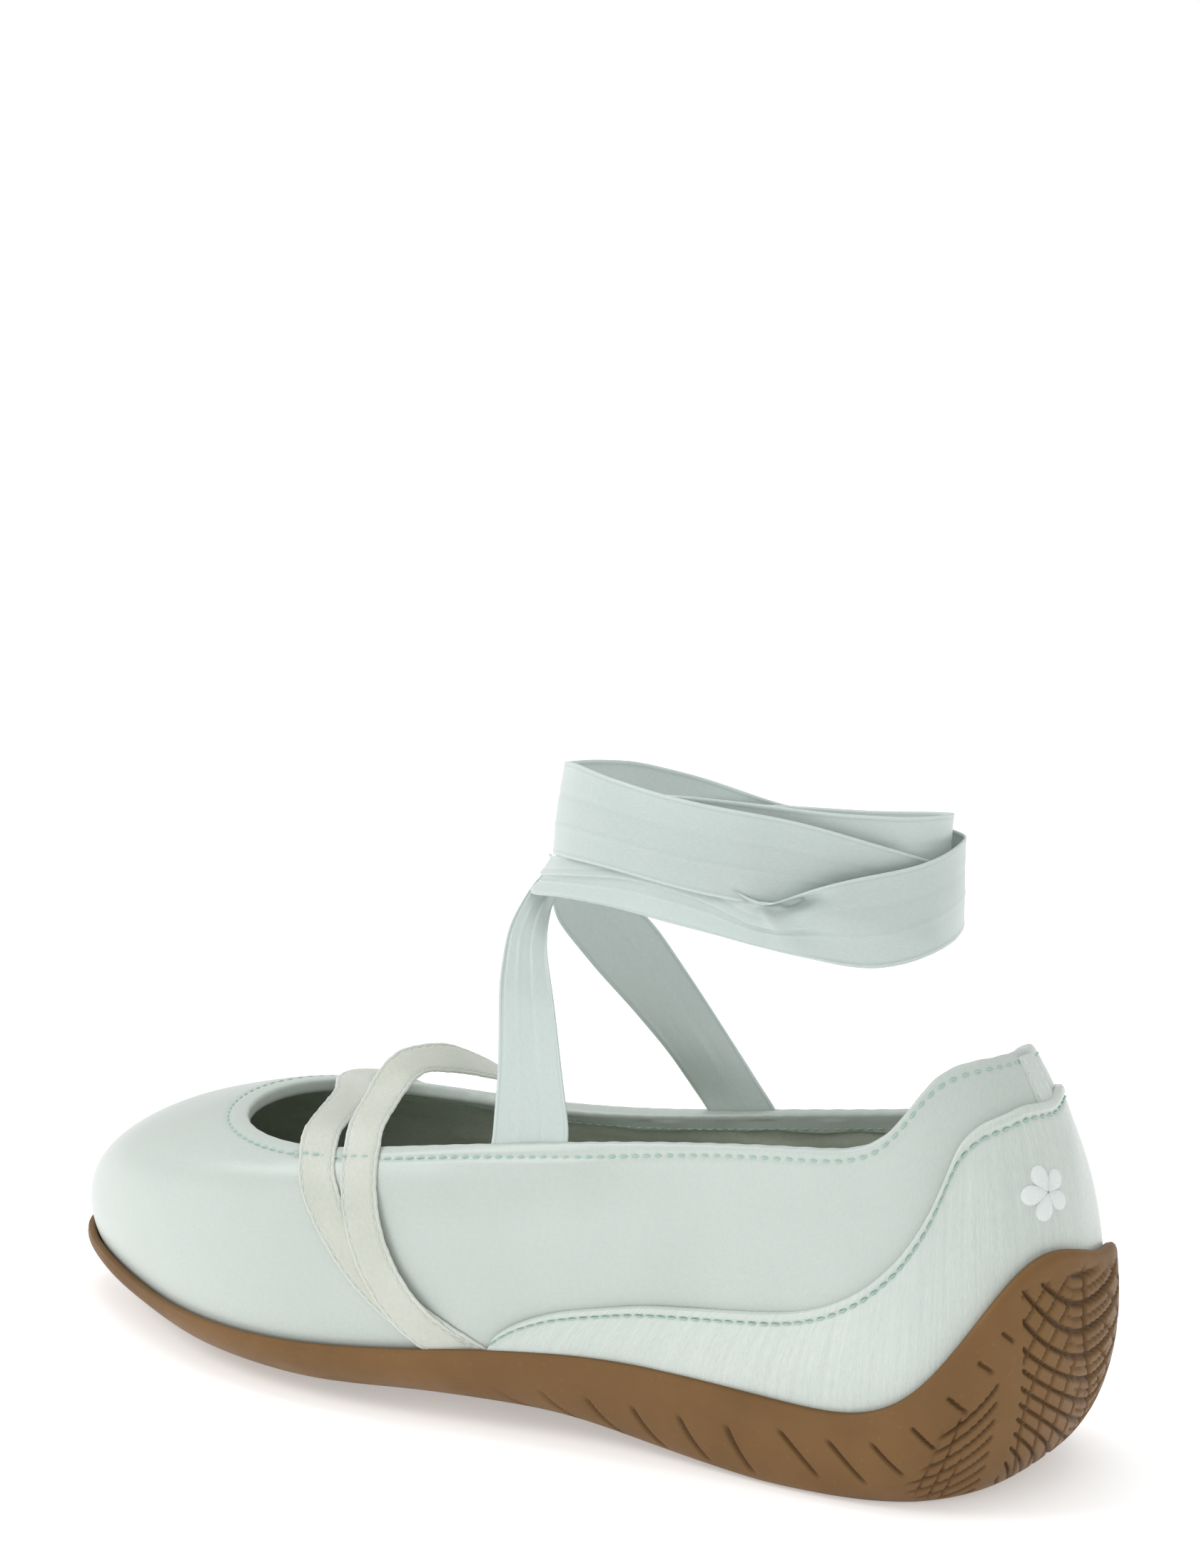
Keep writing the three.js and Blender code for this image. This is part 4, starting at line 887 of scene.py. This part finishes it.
# Each leg runs on the wall from the rubber (foot) past a bend to the topline (head), by d and z, then lifts
# off to its tip (d, y, z), between which the arch runs over its crown.
STRAPS = {
    "front": {
        "crown": (171, 0, 55.2), "twist": 0.0,
        "lateral": dict(side=-1, foot=124.5, bend=(148.8, 32), head=158, tip=(163.5, -20, 55), lift=0.0),
        "medial": dict(side=1, foot=150, bend=(166, 28), head=181, tip=(179.5, 13, 54), lift=0.0),
    },
    "rear": {
        "crown": (154, -3.5, 65.4), "twist": 0.6,
        "lateral": dict(side=-1, foot=125.5, bend=(140.8, 28.6), head=147.4, tip=(151.5, -21.5, 59),
                        lift=1.0),
        "medial": dict(side=1, foot=124, bend=(138, 30), head=145, tip=(148.5, 20, 58.5), lift=1.0),
    },
}


def leg_rows(side, foot, bend, head, lift):
    """A leg's centre and width direction: a quadratic from the rubber to the topline, laid on the upper."""
    top = around(TOPLINE, topline_at(side, np.array(float(head))))
    low = around(RUBBER, place_on_wall(side, foot, 16.0)[0])[0]
    t = np.linspace(-0.26, 1, 26)
    weights = np.stack([(1 - t) ** 2, 2 * t * (1 - t), t**2], 1)
    path = weights @ np.array([(foot, low + 1.6), bend, (top[0], top[2] - 0.6)])
    raised = 0.25 + 0.5 * smooth(-0.05, 0.1, t) + lift * smooth(-0.02, 0.16, t) * (1 - smooth(0.62, 0.9, t))
    q, h = place_on_wall(side, *path.T)
    centre = layer(q, h, UPPER_T + raised)
    return centre, unit(np.cross(np.gradient(centre, axis=0), wall_frame(q, h)[0]))


def strap_path(crown, twist, lateral, medial):
    """A strap's centre and width direction from rubber to rubber: a leg, the arch over its crown, a leg."""
    start, crown, end = (np.array(place, float) for place in (lateral["tip"], crown, medial["tip"]))
    ahead = unit(end - start)
    level = unit(np.array([1.0, 0, 0]) - ahead * ahead[0])
    rows = []
    for leg, tip, flip in ((lateral, start, 1), (medial, end, -1)):
        centre, across = leg_rows(leg["side"], leg["foot"], leg["bend"], leg["head"], leg["lift"])
        across = across * np.sign(across @ level)[:, None]
        rise = mix(centre[-1], tip, 0.45) + [0, leg["side"] * 1.6, 1.2]
        lean = unit(level + UP * twist * (leg["side"] > 0))
        tail = [[*rise, *unit(mix(across[-1], lean, 0.5))], [*tip, *lean]]
        rows.append(np.vstack([np.hstack([centre, across]), tail])[::flip])
    quarters = [mix(tip, crown, 0.5) + UP * (crown[2] - tip[2]) * 0.22 for tip in (start, end)]
    arch = [[*place, *unit(level + UP * twist * much)]
            for place, much in zip((quarters[0], crown, quarters[1]), (0.3, 0.75, 1.6))]
    path = eased(np.vstack([rows[0], arch, rows[1]]), 0.5, 3.2)
    return path[:, :3], unit(path[:, 3:])


def strap(name, shape):
    """One strap as one band of elastic, with beaded edges, two rows of stitches and a slightly wavy width."""
    centre, across = strap_path(**shape)
    direction = unit(np.gradient(centre, axis=0))
    across = unit(across - direction * (across * direction).sum(-1, keepdims=True))
    normal = unit(np.cross(direction, across))
    normal = normal * np.sign(normal[len(normal) // 2, 2])
    share = np.sin(np.linspace(-np.pi / 2, np.pi / 2, 33))
    stitch = 0.78
    run = along(centre)
    thick = 0.46 * (1 - share**8) ** 0.5
    relief = 0.1 * bump(np.abs(share) - 0.92, 0.04) - 0.16 * bump(np.abs(share) - stitch, 0.045)
    lumps = 0.12 * ripple(centre, 6, 41)[:, None] * (1 - share**2)[None]
    curl = 0.12 * share**2
    wavy = 1 + 0.016 * np.sin(1.3 * run) * np.sin(0.31 * run) + 0.008 * np.sin(2.9 * run)
    spine = centre[:, None] + across[:, None] * (wavy[:, None] * share * STRAP_W / 2)[..., None]
    front = spine + normal[:, None] * ((thick + relief - curl)[None] + lumps)[..., None]
    back = spine - normal[:, None] * (thick * 0.9 - relief + curl)[None, :, None]
    uv = np.stack(np.broadcast_arrays((share * STRAP_W / 2)[None], run[:, None]), -1)
    piece = cloth(f"{name}_strap_elastic", front, back, STRAP, uv, body=None)
    parts = [piece]
    for side in (-1, 1):
        row = centre + across * side * stitch * STRAP_W / 2 + normal * 0.16
        edge = "front" if side > 0 else "rear"
        parts.append(stitches(f"{name}_strap_stitches_{edge}", row[8:-8], normal[8:-8], PALE_THREAD, 2.3, 1.7,
                              0.16, body=None))
    for part in parts:
        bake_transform(part)
    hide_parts(f"{name}_strap_leg_lateral", f"{name}_strap_leg_medial", f"{name}_strap_arch")


for strap_name, strap_shape in STRAPS.items():
    strap(strap_name, strap_shape)
topline_stitching()


# --- Ankle ribbons ---

# The turns' oval in plan: its middle (d, y) and its half sizes.
LOOP_MIDDLE = np.array([77.6, 0])
LOOP_HALF = np.array([46.9, 30.5])


def on_loop(degrees, z, outside=0.0):
    """A place on the turns: the angle runs from the front (0) over the outer side (90) to the heel (180)."""
    a = np.radians(degrees)
    d, y = np.cos(a) * (LOOP_HALF[0] + outside), -np.sin(a) * (LOOP_HALF[1] + outside)
    return np.stack([LOOP_MIDDLE[0] + d, LOOP_MIDDLE[1] + y, z], -1)


def ribbon(name, rows, nodes, seed, pinch=None):
    """A satin ribbon between two edges, given at stations as low edge and high edge. Where the edges come
    nearer than its width it bunches into folds, and folds spread from a pinch."""
    rows = np.asarray(rows, float)
    middle = (rows[:, :3] + rows[:, 3:6]) / 2
    path = eased(np.hstack([middle, rows]), 0.8, 3.0)
    low, high = path[:, 3:6], path[:, 6:9]
    centre = (low + high) / 2
    direction = unit(np.gradient(centre, axis=0))
    across = high - low
    width = np.linalg.norm(across, axis=1, keepdims=True)
    normal = unit(np.cross(direction, across))
    facing = np.sign((normal[:, :2] * (centre[:, :2] - LOOP_MIDDLE)).sum(1).mean())
    share = np.linspace(0, 1, 49)
    run = along(centre)
    spare = np.sqrt(np.clip((RIBBON_W / np.maximum(width, 4)) ** 2 - 1, 0, 3))
    ramp = (2 * share + 0.15 + 0.1 * np.sin(run / 23)[:, None]) % 1
    swing = np.minimum(0.0765 * spare * width, 1.0) * smooth(0.45, 1.0, spare)
    swing = swing * (smooth(0, 0.12, ramp) * (1 - ramp) - 0.45)
    margin = np.minimum(share, 1 - share)
    taper = np.minimum(1, margin * 12)
    sag = 0.45 * np.sin(np.pi * share) * np.sin(run / 17 + seed)[:, None]
    crease = 0.14 * bump(share - 0.36 - 0.04 * np.sin(run / 31)[:, None], 0.025)
    crease = crease - 0.1 * bump(share - 0.66, 0.04)
    tuck = 0
    if pinch is not None:
        away = (run - run[np.argmin(np.linalg.norm(centre - pinch, axis=1))])[:, None]
        below = (0.88 - share) * RIBBON_W
        rays = np.sin(7.0 * np.arctan2(below, away + 1.5)) * np.exp(-np.hypot(away, below) / 11)
        tuck = 0.7 * rays * smooth(-3, 2, away) - 3.6 * bump(away - 5.5, 5.0) * bump(share - 0.84, 0.12)
    body = low[:, None] + across[:, None] * share[:, None]
    body = body + normal[:, None] * facing * (swing * taper + sag + crease + tuck)[..., None]
    half_t = normal[:, None] * (0.17 + 0.09 * bump(margin * RIBBON_W - 0.55, 0.35))[:, None]
    uv = np.stack(np.broadcast_arrays(share * RIBBON_W, run[:, None]), -1)
    piece = cloth(name, body + half_t, body - half_t, RIBBON, uv, body=None)
    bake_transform(piece)
    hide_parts(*nodes)
    return run[-1]


def turn_rows(table):
    """Stations of a turn from (degrees, low z, high z, outside) rows; a fifth number is the high edge's."""
    degrees, low, high, *outside = np.array([[*row, row[-1]][:5] for row in table], float).T
    return np.hstack([on_loop(degrees, low, outside[0]), on_loop(degrees, high, outside[1])])


def ribbon_root(side, low_d, high_d, lean=0.0):
    """Three stations where a ribbon is sewn in: 5 mm down inside the turned edge, at it, and 4 mm over it."""
    q = topline_at(side, np.array([low_d, high_d], float))
    down = [layer(q, 1 - reach / top_scale(q), EDGE_MID) for reach in (5.0, 0.5)]
    up = down[1] + np.array([lean, 0, 1]) * 4
    return np.array([row.reshape(6) for row in (*down, up)])


# The outer ribbon: up from the outer topline to the front, round the inner side, and back inside the band.
OUTER_RISE = [
    [102.3, -28, 74, 117.3, -28, 74],
    [105.3, -26.6, 90, 118.4, -26, 92], [110.5, -21, 99, 120.6, -19, 101.5], [116, -10, 104, 120.6, -9, 109],
]
OUTER_TURN = [
    [-5, 105, 114, -3, -6.5], [-25, 106, 119, -2.2, -6.5], [-50, 106.5, 121, -1.8, -2.4],
    [-80, 106, 122, -1.5], [-110, 107.5, 123.5, -1.5], [-140, 110, 127, -1.5],
    [-165, 112.5, 129.8, -1.5], [-180, 114, 130.8, -1.4], [-200, 114.5, 131.6, -2.4],
    [-225, 115, 132.9, -3.6], [-250, 116, 134.4, -3.8], [-268, 116.5, 134.6, -3.8],
    [-290, 116.5, 133.2, -4.0], [-315, 117, 130.5, -6, -7.5],
]
# The inner ribbon: up from the inner topline to the front, back along the outer side under and then over
# itself, round the heel and the inner side, and again along the outer side, where it ends tucked in.
INNER_RISE = [
    [92, 26.5, 69, 104, 19, 68],
    [100.5, 25, 81, 109.8, 13.5, 78], [109.5, 21, 95.5, 115.5, 7.5, 87.5], [117, 12.5, 106, 121, -1, 100],
]
INNER_TURN = [
    [12, 106.5, 114.6, -0.3, -5], [32, 107.8, 115.8, -0.5, -4], [50, 110, 118.4, -1.0, -1.6],
    [62, 110.7, 120.5, -1.3], [77, 110.8, 123.5, -1.2], [88, 109.9, 124, -1.0],
    [103, 108.6, 121, -0.4, -0.8], [110, 107.8, 117, 0.5, 0.9], [116, 107, 115.4, 1.4, 2.2],
    [122, 106.3, 117.3, 1.8, 2.6], [128, 105.4, 119.4, 1.9, 2.4], [136, 103.9, 120.9, 1.8],
    [145, 103.1, 121.9, 1.6], [156, 103.7, 122.6, 1.4], [168, 105, 123.6, 1.2], [180, 106.2, 125, 1.1],
    [200, 107, 124.8, 1.0], [225, 107, 123.5, 0.8], [250, 106, 121.5, 0.8], [278, 105.5, 121.6, 0.6],
    [301, 109, 126.8, 0, -0.6], [322, 112.4, 130.6, -2.2, -4.0], [345, 113.4, 132.2, -5, -7.6],
    [365, 114.2, 133.2, -6.2, -8.8], [385, 115.6, 134.6, -5.6, -8.2], [403, 117.6, 136.6, -2.6, -5.0],
    [419, 118.9, 138, -0.2, -1.6], [432, 119.2, 137.3, 0.7, 0.4], [448, 118, 135.7, 1.1],
    [460, 116.7, 134.5, 1.1], [471, 115.7, 133.5, 0.8], [480, 114.8, 132.4, -0.4],
    [488, 113.8, 131.1, -1.4, -0.6], [496, 112.2, 129.5, -1.8, -0.8], [505, 110.4, 127.6, -1.8, -0.8],
    [516, 108.4, 125.4, -1.4, -0.8], [530, 106.4, 122.6, -0.9],
]
LENGTHS = [
    ribbon("ankle_ribbon_outer", np.vstack([ribbon_root(-1, 100.5, 118), OUTER_RISE, turn_rows(OUTER_TURN)]),
           ("ankle_ribbon_lateral", "ribbon_tail_lateral"), seed=51),
    ribbon("ankle_ribbon_inner",
           np.vstack([ribbon_root(1, 81.5, 98, 0.95), INNER_RISE, turn_rows(INNER_TURN)]),
           ("ankle_ribbon_medial", "ribbon_tail_medial"), seed=57, pinch=on_loop(116, 111.5, 1.5)),
]
print("ribbon lengths, mm:", [round(float(length), 1) for length in LENGTHS])


# --- Inside layers that stay ---

for node_name, look in (("heel_wedge", FOAM), ("forefoot_filler", FOAM), ("lasting_board", BOARD),
                        ("toe_puff", STIFFENER), ("heel_counter", STIFFENER)):
    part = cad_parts[node_name]
    part.data.materials.clear()
    part.data.materials.append(look)


# --- Floor and light ---

def studio():
    """A pale floor, a soft key from the left, a fill, a low front light, a top light and a white surround."""
    look, _, shader = finish_named("paper_floor", 0.9, 0.2)
    shader.inputs["Base Color"].default_value = linear("#f7f7f7")
    shader.inputs["Emission Color"].default_value = (1, 1, 1, 1)
    shader.inputs["Emission Strength"].default_value = 0.36
    mesh = bpy.data.meshes.new("floor")
    corners = ((-40, -40), (40, -40), (40, 40), (-40, 40))
    mesh.from_pydata([(x, y, -0.0004) for x, y in corners], [], [(0, 1, 2, 3)])
    mesh.materials.append(look)
    floor = bpy.data.objects.new("floor", mesh)
    bpy.context.scene.collection.objects.link(floor)
    world = bpy.data.worlds.new("surround")
    world.use_nodes = True
    world.node_tree.nodes["Background"].inputs["Color"].default_value = (1, 1, 1, 1)
    world.node_tree.nodes["Background"].inputs["Strength"].default_value = 0.7
    bpy.context.scene.world = world
    bpy.context.scene.view_settings.view_transform = "Standard"
    for name, place, size, power in (("key", (-1.25, -0.95, 1.35), (0.8, 0.8), 11.5),
                                     ("fill", (1.2, -1.0, 0.8), (1.0, 1.0), 1.5),
                                     ("low", (-0.3, -1.4, 0.12), (1.2, 0.2), 1.6),
                                     ("top", (0.0, 0.2, 1.6), (1.6, 0.7), 6.0)):
        data = bpy.data.lights.new(name, "AREA")
        data.shape, data.size, data.size_y, data.energy = "RECTANGLE", size[0], size[1], power
        light = bpy.data.objects.new(name, data)
        light.location = place
        light.rotation_euler = (Vector((0, 0, 0.05)) - Vector(place)).to_track_quat("-Z", "Y").to_euler()
        bpy.context.scene.collection.objects.link(light)


studio()
